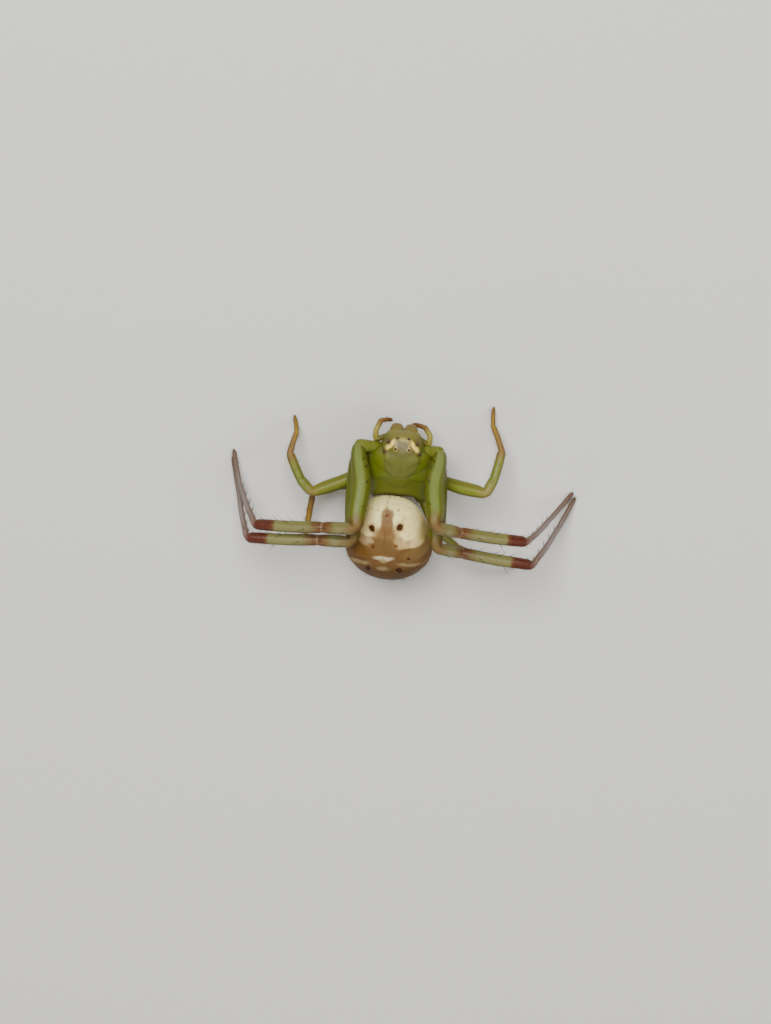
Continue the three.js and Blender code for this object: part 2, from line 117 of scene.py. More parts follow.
# How deep a lens sits in the back, how far its mound lifts it, its rings and sides, and the step
# that the back's slope is measured over.
EYE_SINK = 0.015
EYE_LIFT = 0.03
EYE_ROWS = 18
EYE_SIDES = 28
SLOPE_STEP = 0.02

# Jaws and fangs: across, forward and up. A fang starts a share of the jaw's length before its
# tip, and its middle is pushed along the jaw by another share.
JAW_ROOT = (0.27, 2.22, 0.6)
JAW_TIP = (0.26, 2.37, -0.1)
JAW_SQUARENESS = 0.78
JAW_RADIUS = 0.28
FANG_TIP = (0.07, 2.3, -0.24)
FANG_RADIUS = 0.05
FANG_START = 0.12
FANG_BEND = 0.06

# Feelers: seat, radii, then each joint as its length, heading and rise.
FEELER_SEAT = (0.42, 2.2, 0.25)
FEELER_RADII = (0.11, 0.11, 0.105, 0.09)
FEELER_BOWS = (0, 0, 0, 0.04)
FEELERS = {
    "left": ((0.68, 114, 6), (0.38, 2, -8), (0.42, -26, -32), (0.54, -95, -38)),
    "right": ((0.66, 120, 4), (0.38, 3, -10), (0.43, -45, -42), (0.62, -95, -38)),
}

# Legs: seat of the thigh, place where the hip leaves the body, lengths of thigh, knee piece,
# shin, foot and toe, and radii with the hip's first.
LEGS = {
    1: {
        "seat": (1.56, 1.85, 0.77),
        "hip": (0.45, 1.52, 0.22),
        "lengths": (3.34, 1.33, 2.75, 2.12, 1.38),
        "radii": (0.25, 0.35, 0.235, 0.225, 0.11, 0.095),
    },
    2: {
        "seat": (1.61, 1.22, 0.5),
        "hip": (0.5, 1.2, 0.2),
        "lengths": (3.31, 1.31, 2.76, 2.21, 1.36),
        "radii": (0.24, 0.325, 0.235, 0.225, 0.11, 0.095),
    },
    3: {
        "seat": (1.42, 0.52, 0.38),
        "hip": (0.5, 0.8, 0.2),
        "lengths": (2.06, 0.68, 1.11, 1.1, 0.72),
        "radii": (0.22, 0.25, 0.2, 0.18, 0.115, 0.085),
    },
    4: {
        "seat": (1.0, -0.285, 0.14),
        "hip": (0.4, 0.36, 0.12),
        "lengths": (1.7, 0.62, 1.15, 1.04, 0.63),
        "radii": (0.24, 0.2, 0.15, 0.12, 0.095, 0.075),
    },
}
# How far the hips are swung from their mirrored places: across, forward and up. The front two
# pairs are held a little to the spider's left. The hindmost left leg is seated further forward
# and the hindmost right one further back.
HIP_SWINGS = {
    "left": {1: (0.105, 0, 0), 2: (0.105, 0, 0), 3: (0, 0, 0), 4: (0.08, 0.235, 0.06)},
    "right": {1: (-0.119, 0, 0), 2: (-0.119, 0, 0), 3: (0, 0, 0), 4: (-0.08, -0.235, -0.06)},
}

# The pose: heading and rise of each piece, and the toe's heading.
POSE = {
    "left": {
        1: ((185, 37), (101, -23), (98, -15), (37, -53), (19,)),
        2: ((184, 31), (96, -11), (96, -7), (23, -52), (18,)),
        3: ((116, 9), (44, 0), (26, 1), (-16, -57), (18,)),
        4: ((100, -8), (127, 12), (175, -1), (175, -28), (105,)),
    },
    "right": {
        1: ((180, 51), (113, -40), (98, -16), (63, -61), (43,)),
        2: ((178, 36), (110, -37), (95, -1), (41, -51), (28,)),
        3: ((94, 24), (27, -32), (12, -30), (-28, -36), (-3,)),
        4: ((143, 12), (124, 2), (111, -9), (107, -23), (110,)),
    },
}
# Height of the toes' tips above the floor.
TIP_HEIGHT = 0.005

# Radius along each piece of a leg, as a share of the piece's own radius.
PROFILES = (
    (
        (0, 0.54), (0.04, 0.7), (0.1, 0.81), (0.17, 0.89), (0.34, 1), (0.55, 1.06),
        (0.76, 1.01), (0.9, 0.88), (0.97, 0.76), (1, 0.63),
    ),
    ((0, 0.86), (0.12, 0.96), (0.45, 1), (0.85, 0.98), (0.95, 0.93), (1, 0.84)),
    ((0, 0.88), (0.08, 0.98), (0.4, 1), (0.86, 0.95), (0.96, 0.9), (1, 0.74)),
    ((0, 0.95), (0.05, 1.1), (0.2, 1.02), (0.6, 0.95), (0.93, 0.9), (1, 0.8)),
    ((0, 1.0), (0.12, 1.02), (0.6, 0.93), (0.92, 0.87), (0.98, 0.7), (1, 0.4)),
)
HIP_PROFILE = (
    (0, 0.9), (0.5, 1), (0.62, 0.92), (0.7, 1.0), (0.85, 1.0), (0.93, 0.9), (0.98, 0.7), (1, 0.3),
)
# How far the middle of each piece bows outwards, as a share of its length:
# each pair's thigh, then the rest.
THIGH_BOWS = {1: 0.048, 2: 0.0, 3: 0.02, 4: 0.02}
BOWS = (0.0, 0.01, 0.015, 0.02)
# A bend starts before its joint by a share of the limb's radius, more where it is sharper and at
# most a share of either piece. A piece whose neighbours bend less than the last value is straight.
BEND = {"share": 0.7, "slope": 1.1, "least": 0.1, "most": 0.4, "straight": 0.05}
LIMB_STEP = 0.045
SMOOTHING_ROUNDS = 3
# How far a hip reaches into its thigh.
HIP_OVERLAP = 0.12
# The value that tells the limbs apart on the skin: a leg has its pair's number.
BODY_KIND = 0.0
FEELER_KIND = 5.0
HIP_KIND = 6.0

# How furry each part is, as a share of the most; for limbs by place along the joints.
FUR = {
    "carapace": 0.08,
    "abdomen": 0.3,
    "hip": 0.25,
    "limb": ((0, 0.15), (0.9, 0.3), (1.5, 0.4), (2.5, 0.5), (3.1, 0.9), (4, 1.0), (5, 1.3)),
}


def colour(code):
    """A linear colour from an sRGB hex value."""
    channels = [int(code[i:i + 2], 16) / 255 for i in (1, 3, 5)]
    linear = [c / 12.92 if c <= 0.04045 else ((c + 0.055) / 1.055) ** 2.4 for c in channels]
    return (*linear, 1.0)


def spread(stations, count):
    """Smooth values through a table of stations, evenly spaced over the rows from first to last."""
    rows = np.array(stations, dtype=float)
    slopes = np.gradient(rows, axis=0)
    places = np.linspace(0, len(rows) - 1, count)
    lower = np.minimum(places.astype(int), len(rows) - 2)
    t = (places - lower)[:, None]
    a, b, ma, mb = rows[lower], rows[lower + 1], slopes[lower], slopes[lower + 1]
    return (
        (2 * t**3 - 3 * t**2 + 1) * a
        + (t**3 - 2 * t**2 + t) * ma
        + (3 * t**2 - 2 * t**3) * b
        + (t**3 - t**2) * mb
    )


def round_turns(sides):
    return np.linspace(0, 2 * math.pi, sides, endpoint=False)


def power(values, exponent):
    return np.sign(values) * np.abs(values) ** exponent


def matrix(*turns):
    """A 3 by 3 matrix from turns about named axes, the last one first."""
    whole = Matrix.Identity(3)
    for axis, angle in turns:
        whole = whole @ Matrix.Rotation(radians(angle), 3, axis)
    return np.array(whole)


CARAPACE_TURN = matrix(("X", -CARAPACE_PITCH)) @ np.diag([1.0, -1.0, 1.0])
ABDOMEN_TURN = matrix(
    ("Z", ABDOMEN_TURNS["yaw"]),
    ("X", -ABDOMEN_TURNS["pitch"]),
    ("Y", ABDOMEN_TURNS["roll"]),
)


def on_carapace(side, place):
    across, forward, up = place
    return CARAPACE_TURN @ np.array([across * side, forward, up]) + np.array(CARAPACE_REAR)


def carapace_section(values, turn):
    """Points of the carapace's rings in its own frame: a squared dome over a pinched underside."""
    forward, half, top, under = (values[:, i][:, None] for i in range(4))
    margin = under + MARGIN_LEVEL * (top - under)
    up = np.sin(turn)[None, :]
    across = np.cos(turn)[None, :]
    above = up > 0
    exponent = np.where(above, TOP_SQUARENESS, 1.0)
    pinch = np.where(above, 1.0, 1 - UNDERSIDE_PINCH * np.abs(up) ** PINCH_CURVE)
    reach = np.where(above, top - margin, margin - under)
    return np.stack(
        [
            -half * power(across, exponent) * pinch,
            forward + 0 * up,
            margin + reach * power(up, exponent),
        ],
        axis=-1,
    )


def abdomen_section(values, turn):
    along, half, above, below = (values[:, i][:, None] for i in range(4))
    up = np.sin(turn)[None, :]
    across = np.cos(turn)[None, :]
    return np.stack(
        [
            half * power(across, ABDOMEN_SQUARENESS),
            along + 0 * up,
            np.where(up > 0, above, below) * power(up, ABDOMEN_SQUARENESS),
        ],
        axis=-1,
    )


def back_height(across, forward):
    """Height of the carapace's back in its own frame."""
    values = spread(CARAPACE, 800)
    half, top, under = (np.interp(forward, values[:, 0], values[:, i]) for i in (1, 2, 3))
    margin = under + MARGIN_LEVEL * (top - under)
    cosine = min(1.0, abs(across) / half) ** (1 / TOP_SQUARENESS)
    sine = math.sqrt(1 - cosine * cosine)
    return margin + (top - margin) * sine**TOP_SQUARENESS


def frame_shift():
    """The body frame's origin in the CAD frame, found from the carapace's box."""
    low, high = (np.array(corner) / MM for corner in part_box("carapace"))
    turn = np.linspace(0, 2 * math.pi, 41)[:-1]
    rings = carapace_section(spread(CARAPACE, 80), turn)
    points = rings @ CARAPACE_TURN.T + np.array(CARAPACE_REAR)
    return np.array([(low[0] + high[0]) / 2, high[1] - points[..., 1].max(), 0.0])


SHIFT = frame_shift()


def direction(side, heading, rise):
    flat = math.cos(radians(rise))
    return np.array(
        [
            side * math.sin(radians(heading)) * flat,
            -math.cos(radians(heading)) * flat,
            math.sin(radians(rise)),
        ]
    )


def leg_joints(pair, side_name):
    """The joints of a leg from the thigh's seat to the toe's tip, in the body's frame."""
    side = SIDES[side_name]
    leg = LEGS[pair]
    pose = POSE[side_name][pair]
    seat = np.add(leg["seat"], HIP_SWINGS[side_name][pair])
    joints = [on_carapace(side, seat)]
    for length, (heading, rise) in zip(leg["lengths"][:4], pose[:4]):
        joints.append(joints[-1] + length * direction(side, heading, rise))
    length = leg["lengths"][4]
    rise = math.degrees(math.asin((TIP_HEIGHT - joints[-1][2]) / length))
    joints.append(joints[-1] + length * direction(side, pose[4][0], rise))
    return joints


def feeler_joints(side_name):
    side = SIDES[side_name]
    joints = [on_carapace(side, FEELER_SEAT)]
    for length, heading, rise in FEELERS[side_name]:
        joints.append(joints[-1] + length * direction(side, heading, rise))
    return joints


def unit(vectors):
    return vectors / np.linalg.norm(vectors, axis=-1, keepdims=True)


def limb_path(joints, radii, bows, step):
    """Centre points along a limb with rounded bends, and the piece number plus fraction of each."""
    points, parts = [], []
    ways = [joints[i + 1] - joints[i] for i in range(len(joints) - 1)]
    lengths = [float(np.linalg.norm(way)) for way in ways]
    ways = [way / length for way, length in zip(ways, lengths)]
    cuts = [0.0]
    for i in range(1, len(ways)):
        angle = math.acos(float(np.clip(ways[i - 1] @ ways[i], -1, 1)))
        sharpness = BEND["slope"] * math.tan(angle / 2) + BEND["least"]
        cut = BEND["share"] * max(radii[i - 1], radii[i]) * sharpness
        cuts.append(min(cut, BEND["most"] * lengths[i - 1], BEND["most"] * lengths[i]))
    cuts.append(0.0)
    for i, (way, length) in enumerate(zip(ways, lengths)):
        outward = np.zeros(3)
        if i > 0:
            outward += ways[i - 1]
        if i < len(ways) - 1:
            outward -= ways[i + 1]
        outward -= (outward @ way) * way
        size = np.linalg.norm(outward)
        outward = outward / size if size > BEND["straight"] else np.zeros(3)
        first, last = cuts[i], length - cuts[i + 1]
        count = max(3, int((last - first) / step))
        for t in np.linspace(first, last, count):
            bow = bows[i] * length * math.sin(math.pi * (t - first) / (last - first)) ** 2
            points.append(joints[i] + way * t + outward * bow)
            parts.append(i + t / length)
        if i < len(ways) - 1:
            start = joints[i] + way * last
            end = joints[i + 1] + ways[i + 1] * cuts[i + 1]
            count = max(4, int(2 * cuts[i + 1] / step))
            for w in np.linspace(0, 1, count + 1)[1:-1]:
                points.append((1 - w) ** 2 * start + 2 * w * (1 - w) * joints[i + 1] + w * w * end)
                if w < 0.5:
                    parts.append(i + 1 - (1 - 2 * w) * cuts[i + 1] / length)
                else:
                    parts.append(i + 1 + (2 * w - 1) * cuts[i + 1] / lengths[i + 1])
    return np.array(points), np.array(parts)


def limb_rings(points, radii, sides, squareness=1.0):
    """Rings across a path, from the top of the limb on. A squareness below 1 flattens them."""
    ways = unit(np.gradient(points, axis=0))
    tops = unit(UP - (ways @ UP)[:, None] * ways)
    flanks = np.cross(ways, tops)
    turn = round_turns(sides)[None, :, None]
    radii = radii[:, None, None]
    return (
        points[:, None, :]
        + radii * power(np.cos(turn), squareness) * tops[:, None, :]
        + radii * power(np.sin(turn), squareness) * flanks[:, None, :]
    )


def ring_volume(rings):
    """Signed room inside a run of rings, which is above zero where the faces point outwards."""
    points = rings - rings.reshape(-1, 3).mean(axis=0)
    a, d = points[:-1], points[1:]
    b, c = np.roll(a, -1, axis=1), np.roll(d, -1, axis=1)
    return float(np.sum(a * np.cross(b, c)) + np.sum(a * np.cross(c, d)))


def add_object(name, data):
    thing = bpy.data.objects.new(name, data)
    bpy.context.collection.objects.link(thing)
    return thing


def carry(mesh, name, values):
    """Stores a number or a vector for each vertex of a mesh."""
    table = np.asarray(values, dtype=np.float32)
    kind, field = ("FLOAT", "value") if table.ndim == 1 else ("FLOAT_VECTOR", "vector")
    mesh.attributes.new(name, kind, "POINT").data.foreach_set(field, table.ravel())


class Shell:
    """A mesh put together from closed rings of points, with its values and its unwrap."""

    def __init__(self):
        self.points, self.faces, self.slots, self.corners = [], [], [], []
        self.values = {}
        self.count = 0

    def add_rings(self, rings, slot, patch, part, kind, top, plan, way, sunk=0.0, fur=0.0):
        """Rings of points closed at both ends. patch is the piece's rectangle on the unwrap."""
        number, sides = rings.shape[:2]
        order = slice(None, None, -1 if ring_volume(rings) < 0 else 1)
        rings = rings[:, order]
        self.points += [rings.reshape(-1, 3), rings[:1].mean(axis=1), rings[-1:].mean(axis=1)]
        numbers = {"part": part, "leg": kind, "top": top, "sunk": sunk, "fur": fur}
        vectors = {"plan": plan, "way": way}
        for name, data in (numbers | vectors).items():
            size = (3,) if name in vectors else ()
            table = np.broadcast_to(data, (number, sides, *size))[:, order].reshape(-1, *size)
            self.values.setdefault(name, []).extend([table, table[:1], table[-1:]])
        u0, v0, u1, v1 = patch

        def add_face(vertices, *places):
            self.faces.append(vertices)
            self.slots.append(slot)
            for i, j in places:
                self.corners.append(
                    (u0 + (u1 - u0) * i / (number + 1), v0 + (v1 - v0) * j / sides)
                )

        first, last = self.count, self.count + (number - 1) * sides
        pole = last + sides
        around = [(j, (j + 1) % sides) for j in range(sides)]
        for i, row in enumerate(range(first, last, sides), 1):
            for j, k in around:
                face = (row + j, row + k, row + sides + k, row + sides + j)
                add_face(face, (i, j), (i, j + 1), (i + 1, j + 1), (i + 1, j))
        for j, k in around:
            add_face((pole, first + k, first + j), (0, j + 0.5), (1, j + 1), (1, j))
        for j, k in around:
            face = (last + j, last + k, pole + 1)
            add_face(face, (number, j), (number, j + 1), (number + 1, j + 0.5))
        self.count = pole + 2

    def make(self, name, materials):
        points = (np.vstack(self.points) + SHIFT) * MM
        points[:, 2] = np.maximum(points[:, 2], 0.0)
        mesh = bpy.data.meshes.new(name)
        mesh.from_pydata(points.tolist(), [], self.faces)
        for material in materials:
            mesh.materials.append(material)
        mesh.polygons.foreach_set("material_index", self.slots)
        mesh.polygons.foreach_set("use_smooth", [True] * len(self.faces))
        for key, tables in self.values.items():
            carry(mesh, key, np.concatenate(tables))
        layer = mesh.uv_layers.new(name="OFBake")
        layer.data.foreach_set("uv", np.array(self.corners, dtype=np.float32).ravel())
        mesh.update()
        return add_object(name, mesh)


def line_depth(plan_x, plan_y, line, width, depth):
    """How far a surface is lowered by a groove along a line through plan points."""
    away = np.full(plan_x.shape, np.inf)
    for (ax, ay), (bx, by) in zip(line, line[1:]):
        length = math.hypot(bx - ax, by - ay)
        t = np.clip(((plan_x - ax) * (bx - ax) + (plan_y - ay) * (by - ay)) / length**2, 0, 1)
        from_x, from_y = plan_x - ax - t * (bx - ax), plan_y - ay - t * (by - ay)
        away = np.minimum(away, np.hypot(from_x, from_y))
    return depth * np.exp(-((away / width) ** 2))


def arc(centre, radii, start, end, count=14):
    """Plan points on part of an ellipse, by angle from straight forward towards the left."""
    (x, y), (across, along) = centre, radii
    angles = np.radians(np.linspace(start, end, count))
    return tuple((x + across * math.sin(a), y + along * math.cos(a)) for a in angles)


# Lines pressed into the carapace's back: plan points, width and depth. Paired ones are on both
# sides. GROOVE_DEPTH is the depth that gets the full painted shade of a groove.
GROOVE_DEPTH = 0.012
PAIRED_GROOVES = (
    (((0.3, 1.35), (0.62, 1.62), (0.74, 1.9)), 0.06, 0.006),
    (((0.35, 1.05), (1.0, 1.35)), 0.06, 0.008),
    (((0.35, 0.85), (1.0, 0.72)), 0.06, 0.008),
)
MIDDLE_GROOVES = (
    (((0.0, 1.15), (0.0, 1.48)), 0.022, 0.012),
    (arc((0.0, 1.48), (0.63, 0.56), 82, 278), 0.022, 0.012),
    (arc((0.02, 1.3), (0.62, 0.84), 130, 226), 0.02, 0.012),
    (arc((-0.02, 1.25), (0.8, 0.68), 140, 215), 0.018, 0.008),
)
# The mounds under the eyes, the raised margin, and the rear corners, which are drawn out: how
# far, where, and over what width and reach.
EYE_MOUND = {"width": 0.11, "height": 0.04}
RIM = {"height": 0.03, "width": 0.09}
REAR_CORNERS = {"push": 0.24, "across": 0.98, "width": 0.34, "forward": 0.1, "reach": 0.34}


def build_carapace(shell, slot, patch, rings=170, sides=150):
    turn = round_turns(sides)
    values = spread(CARAPACE, rings + 2)[1:-1]
    points = carapace_section(values, turn)
    plan = points.copy()
    top = np.sin(turn)[None, :]
    above = np.clip(top, 0, 1) ** 0.5
    sunk = np.zeros(points.shape[:2])
    for line, width, depth in MIDDLE_GROOVES:
        sunk += line_depth(plan[..., 0], plan[..., 1], line, width, depth)
    for mirror in (1, -1):
        for line, width, depth in PAIRED_GROOVES:
            sunk += line_depth(plan[..., 0] * mirror, plan[..., 1], line, width, depth)
        for sideways, forward, _ in EYES.values():
            away = np.hypot(plan[..., 0] * mirror - sideways, plan[..., 1] - forward)
            mound = EYE_MOUND["height"] * np.exp(-((away / EYE_MOUND["width"]) ** 2))
            points[..., 2] += mound * above
    points[..., 2] -= sunk * above
    rim = RIM["height"] * np.exp(-((top / RIM["width"]) ** 2))
    points[..., 0] += rim * np.sign(points[..., 0])
    sideways = (np.abs(points[..., 0]) - REAR_CORNERS["across"]) / REAR_CORNERS["width"]
    rearward = (points[..., 1] - REAR_CORNERS["forward"]) / REAR_CORNERS["reach"]
    points[..., 1] -= REAR_CORNERS["push"] * np.exp(-sideways**2 - rearward**2)
    world = points @ CARAPACE_TURN.T + np.array(CARAPACE_REAR)
    headward = CARAPACE_TURN @ np.array([0, 1.0, 0])
    shell.add_rings(
        world, slot, patch, 0.0, BODY_KIND, top, plan, headward,
        sunk=sunk / GROOVE_DEPTH, fur=FUR["carapace"],
    )


# The muscle pits on the abdomen's back: plan place, radius and depth.
PITS = (
    ((0.555, -0.92), 0.07, 0.03),
    ((-0.455, -1.06), 0.07, 0.03),
    ((0.045, -1.41), 0.06, 0.015),
    ((0.465, -0.28), 0.07, 0.02),
    ((-0.395, -0.38), 0.07, 0.02),
)
# Faint folds across the flanks of the abdomen's rear half.
FOLD = {"depth": 0.012, "count": 9}


def build_abdomen(shell, slot, patch, rings=160, sides=140):
    turn = round_turns(sides)
    values = spread(ABDOMEN, rings + 2)[1:-1]
    points = abdomen_section(values, turn)
    plan = points.copy()
    top = np.sin(turn)[None, :]
    sunk = np.zeros(points.shape[:2])
    for (sideways, along), width, depth in PITS:
        away = np.hypot(plan[..., 0] - sideways, plan[..., 1] - along)
        sunk += depth * np.exp(-((away / width) ** 2)) * (top > 0)
    points[..., 2] -= sunk
    rearward = plan[..., 1] / -ABDOMEN[0][0]
    fold = FOLD["depth"] * np.sin(rearward * math.pi * FOLD["count"])
    points[..., 0] *= 1 + fold * np.cos(turn)[None, :] ** 2 * np.clip(rearward, 0, 1)
    world = points @ ABDOMEN_TURN.T + np.array(ABDOMEN_CENTRE)
    backward = ABDOMEN_TURN @ np.array([0, 1.0, 0])
    shell.add_rings(
        world, slot, patch, 0.0, BODY_KIND, top, plan, backward, fur=FUR["abdomen"],
    )


def build_limb(
    shell, slot, patch, joints, radii, profiles, bows, kind,
    step=LIMB_STEP, sides=20, squareness=1.0,
):
    """A limb as one skin: a tube through its joints, with a fold where two pieces meet."""
    points, parts = limb_path(joints, radii, bows, step)
    piece = np.minimum(parts.astype(int), len(radii) - 1)
    sizes = np.empty(len(parts))
    for i, (radius, profile) in enumerate(zip(radii, profiles)):
        here = piece == i
        sizes[here] = radius * np.interp(parts[here] - i, *zip(*profile))
    kernel = np.array([0.25, 0.5, 0.25])
    for _ in range(SMOOTHING_ROUNDS):
        sizes[1:-1] = np.convolve(sizes, kernel, "valid")
    rings = limb_rings(points, sizes, sides, squareness)
    top = np.cos(round_turns(sides))[None, :]
    ways = unit(np.gradient(points, axis=0))[:, None, :]
    fur = np.interp(parts, *zip(*FUR["limb"]))[:, None] if kind < HIP_KIND else FUR["hip"]
    shell.add_rings(rings, slot, patch, parts[:, None], kind, top, rings, ways, fur=fur)


def scene_settings():
    return bpy.context.scene.crab_spider


def colour_property(name, description, code):
    return FloatVectorProperty(
        name=name, description=description, subtype="COLOR", size=4, min=0, max=1,
        default=colour(code),
    )


def size_property(name, description, millimetres):
    return FloatProperty(
        name=name, description=description, unit="LENGTH", default=millimetres * MM, min=0.001 * MM,
        max=2 * MM, precision=6,
    )


class BodySettings(bpy.types.PropertyGroup):
    """Colours of the skin, and the sizes of spines and hairs."""

    olive: colour_property("Olive", "Main colour of the carapace", "#616b11")
    head: colour_property("Head", "Greyish olive of the head", "#5f5b22")
    cream: colour_property("Cream", "Pale front of the abdomen", "#fff0a6")
    tan: colour_property("Tan", "Main brown of the abdomen", "#6b4d2a")
    leg_green: colour_property("Leg green", "Flanks of the thighs", "#545b09")
    # The pale stripe on top of the thighs is partly the leg's own colour and partly a painted
    # highlight.
    leg_stripe_and_highlight: colour_property("Leg stripe", "Pale stripe along the top of the thighs", "#6c7a36")
    leg_band: colour_property("Leg band", "Dark red ring at the end of the front shins", "#4b170c")
    spine_brown: colour_property("Spine brown", "Spines of the legs", "#24130a")
    hair_length: size_property("Hair length", "Length of a fine hair", 0.13)
    hair_thickness: size_property("Hair thickness", "Radius of a fine hair at its root", 0.0045)
    hairs_per_square: FloatProperty(
        name="Hairs", description="Hairs on a square millimetre where they are thickest",
        default=130, min=0, max=500,
    )
    seed: IntProperty(name="Seed", description="Seed of the hairs' places", default=7, min=0)


def tint(code):
    """A linear colour from an sRGB hex value, or one of the settings' colours by its name."""
    return colour(code) if code.startswith("#") else tuple(getattr(scene_settings(), code))


def node(tree, kind, settings=None, inputs=None, stops=()):
    """Adds a node. settings are its properties, inputs its sockets' values or the sockets to link
    from, and stops a colour ramp's places from 0 to 1, each with its colour."""
    made = tree.nodes.new(kind)
    for key, value in (settings or {}).items():
        setattr(made, key, value)
    for key, value in (inputs or {}).items():
        socket = made.inputs[key]
        if isinstance(value, bpy.types.NodeSocket):
            tree.links.new(value, socket)
        else:
            socket.default_value = value
    for place, code in stops[1:-1]:
        made.color_ramp.elements.new(place).color = tint(code)
    if stops:
        elements = made.color_ramp.elements
        for element, (place, code) in zip((elements[0], elements[-1]), (stops[0], stops[-1])):
            element.position = place
            element.color = tint(code)
    return made


def new_material(name, roughness, ior=1.5, **sockets):
    material = bpy.data.materials.new(name)
    material.use_nodes = True
    tree = material.node_tree
    tree.nodes.clear()
    shader = node(
        tree, "ShaderNodeBsdfPrincipled", None,
        {"Roughness": roughness, "IOR": ior, **sockets},
    )
    output = node(tree, "ShaderNodeOutputMaterial")
    tree.links.new(shader.outputs["BSDF"], output.inputs["Surface"])
    return material, tree, shader


def add_inputs(tree, **names):
    """Adds named inputs to a node group, listed by their kind."""
    for kind, labels in names.items():
        for label in labels.split():
            tree.interface.new_socket(label, in_out="INPUT", socket_type=f"NodeSocket{kind}")


def mark_group():
    """A node group that lays one soft-edged oval of colour over another colour."""
    group = bpy.data.node_groups.new("soft mark", "ShaderNodeTree")
    add_inputs(
        group, Color="Below Colour", Vector="Place Centre Spread",
        Float="Turn Inner Outer Strength",
    )
    group.interface.new_socket("Result", in_out="OUTPUT", socket_type="NodeSocketColor")
    given = node(group, "NodeGroupInput").outputs
    turned = node(
        group, "ShaderNodeVectorRotate", {"rotation_type": "Z_AXIS"},
        {"Vector": given["Place"], "Center": given["Centre"], "Angle": given["Turn"]},
    )
    away = node(
        group, "ShaderNodeVectorMath", {"operation": "SUBTRACT"},
        {0: turned.outputs[0], 1: given["Centre"]},
    )
    scaled = node(
        group, "ShaderNodeVectorMath", {"operation": "MULTIPLY"},
        {0: away.outputs[0], 1: given["Spread"]},
    )
    length = node(group, "ShaderNodeVectorMath", {"operation": "LENGTH"}, {0: scaled.outputs[0]})
    share = node(
        group, "ShaderNodeMapRange", {"interpolation_type": "SMOOTHSTEP"},
        {
            "Value": length.outputs["Value"], "To Min": given["Strength"], "To Max": 0.0,
            "From Min": given["Inner"], "From Max": given["Outer"],
        },
    )
    mixed = node(
        group, "ShaderNodeMix", {"data_type": "RGBA"},
        {"Factor": share.outputs["Result"], "A": given["Below"], "B": given["Colour"]},
    )
    output = node(group, "NodeGroupOutput")
    group.links.new(mixed.outputs[2], output.inputs["Result"])
    return group


def mark_over(tree, below, place, marks):
    """Lays a table of marks over a colour: centre, half sizes, turn, edge, colour and strength."""
    group = bpy.data.node_groups.get("soft mark") or mark_group()
    for centre, halves, turn, edge, code, strength in marks:
        laid = node(
            tree, "ShaderNodeGroup", {"node_tree": group},
            {
                "Below": below, "Place": place, "Centre": (*centre, 0.0), "Turn": radians(turn),
                "Spread": (1 / halves[0], 1 / halves[1], 0.0), "Inner": 1 - edge, "Outer": 1 + edge,
                "Colour": tint(code), "Strength": strength,
            },
        )
        below = laid.outputs["Result"]
    return below


def wavering(tree, place, scale, amount):
    """A place pushed about by noise, so that the marks on it get natural edges."""
    noise = node(tree, "ShaderNodeTexNoise", None, {"Vector": place, "Scale": scale, "Detail": 3.0})
    centred = node(
        tree, "ShaderNodeVectorMath", {"operation": "SUBTRACT"},
        {0: noise.outputs["Color"], 1: (0.5, 0.5, 0.5)},
    )
    pushed = node(
        tree, "ShaderNodeVectorMath", {"operation": "MULTIPLY_ADD"},
        {0: centred.outputs[0], 1: (amount, amount, amount), 2: place},
    )
    return pushed.outputs[0]


def mottled(tree, below, place, scale, dark, amount):
    """Fine mottling: a darker tint laid over a colour where noise is high."""
    noise = node(tree, "ShaderNodeTexNoise", None, {"Vector": place, "Scale": scale, "Detail": 4.0})
    share = node(
        tree, "ShaderNodeMapRange", {"interpolation_type": "SMOOTHSTEP"},
        {"Value": noise.outputs["Fac"], "From Min": 0.42, "From Max": 0.68, "To Max": amount},
    )
    mixed = node(
        tree, "ShaderNodeMix", {"data_type": "RGBA"},
        {"Factor": share.outputs["Result"], "A": below, "B": colour(dark)},
    )
    return mixed.outputs[2]


def grained(tree, shader, place, scale, height):
    """Fine bumps of the skin. scale is grains to the millimetre and height is in millimetres."""
    rough = shader.inputs["Roughness"]
    noise = node(tree, "ShaderNodeTexNoise", None, {"Vector": place, "Scale": scale, "Detail": 2.0})
    bump = node(
        tree, "ShaderNodeBump", None,
        {"Height": noise.outputs["Fac"], "Distance": height * MM, "Strength": 1.0},
    )
    tree.links.new(bump.outputs["Normal"], shader.inputs["Normal"])
    shine = node(
        tree, "ShaderNodeMapRange", None,
        {
            "Value": noise.outputs["Fac"],
            "To Min": rough.default_value - 0.06, "To Max": rough.default_value + 0.08,
        },
    )
    tree.links.new(shine.outputs["Result"], rough)


def surfaced(tree, shader, below, place, mottling, grain):
    """Gives the shader a colour with fine mottling over it, and the skin's grain."""
    fine = mottled(tree, below, place, *mottling)
    tree.links.new(fine, shader.inputs["Base Color"])
    grained(tree, shader, place, *grain)


def upper_share(tree):
    """How far up its part's outline a point is, from 0 underneath to 1 on top."""
    top = node(tree, "ShaderNodeAttribute", {"attribute_name": "top"}).outputs["Fac"]
    return node(tree, "ShaderNodeMapRange", None, {"Value": top, "From Min": -1.0}).outputs[0]


def plan_place(tree):
    """The place in millimetres on the plan that a mesh carries."""
    return node(tree, "ShaderNodeAttribute", {"attribute_name": "plan"}).outputs["Vector"]


def object_place(tree):
    """The place in millimetres in the model's own frame."""
    place = node(tree, "ShaderNodeTexCoord").outputs["Object"]
    scaled = node(tree, "ShaderNodeVectorMath", {"operation": "SCALE"}, {0: place, "Scale": 1 / MM})
    return scaled.outputs["Vector"]


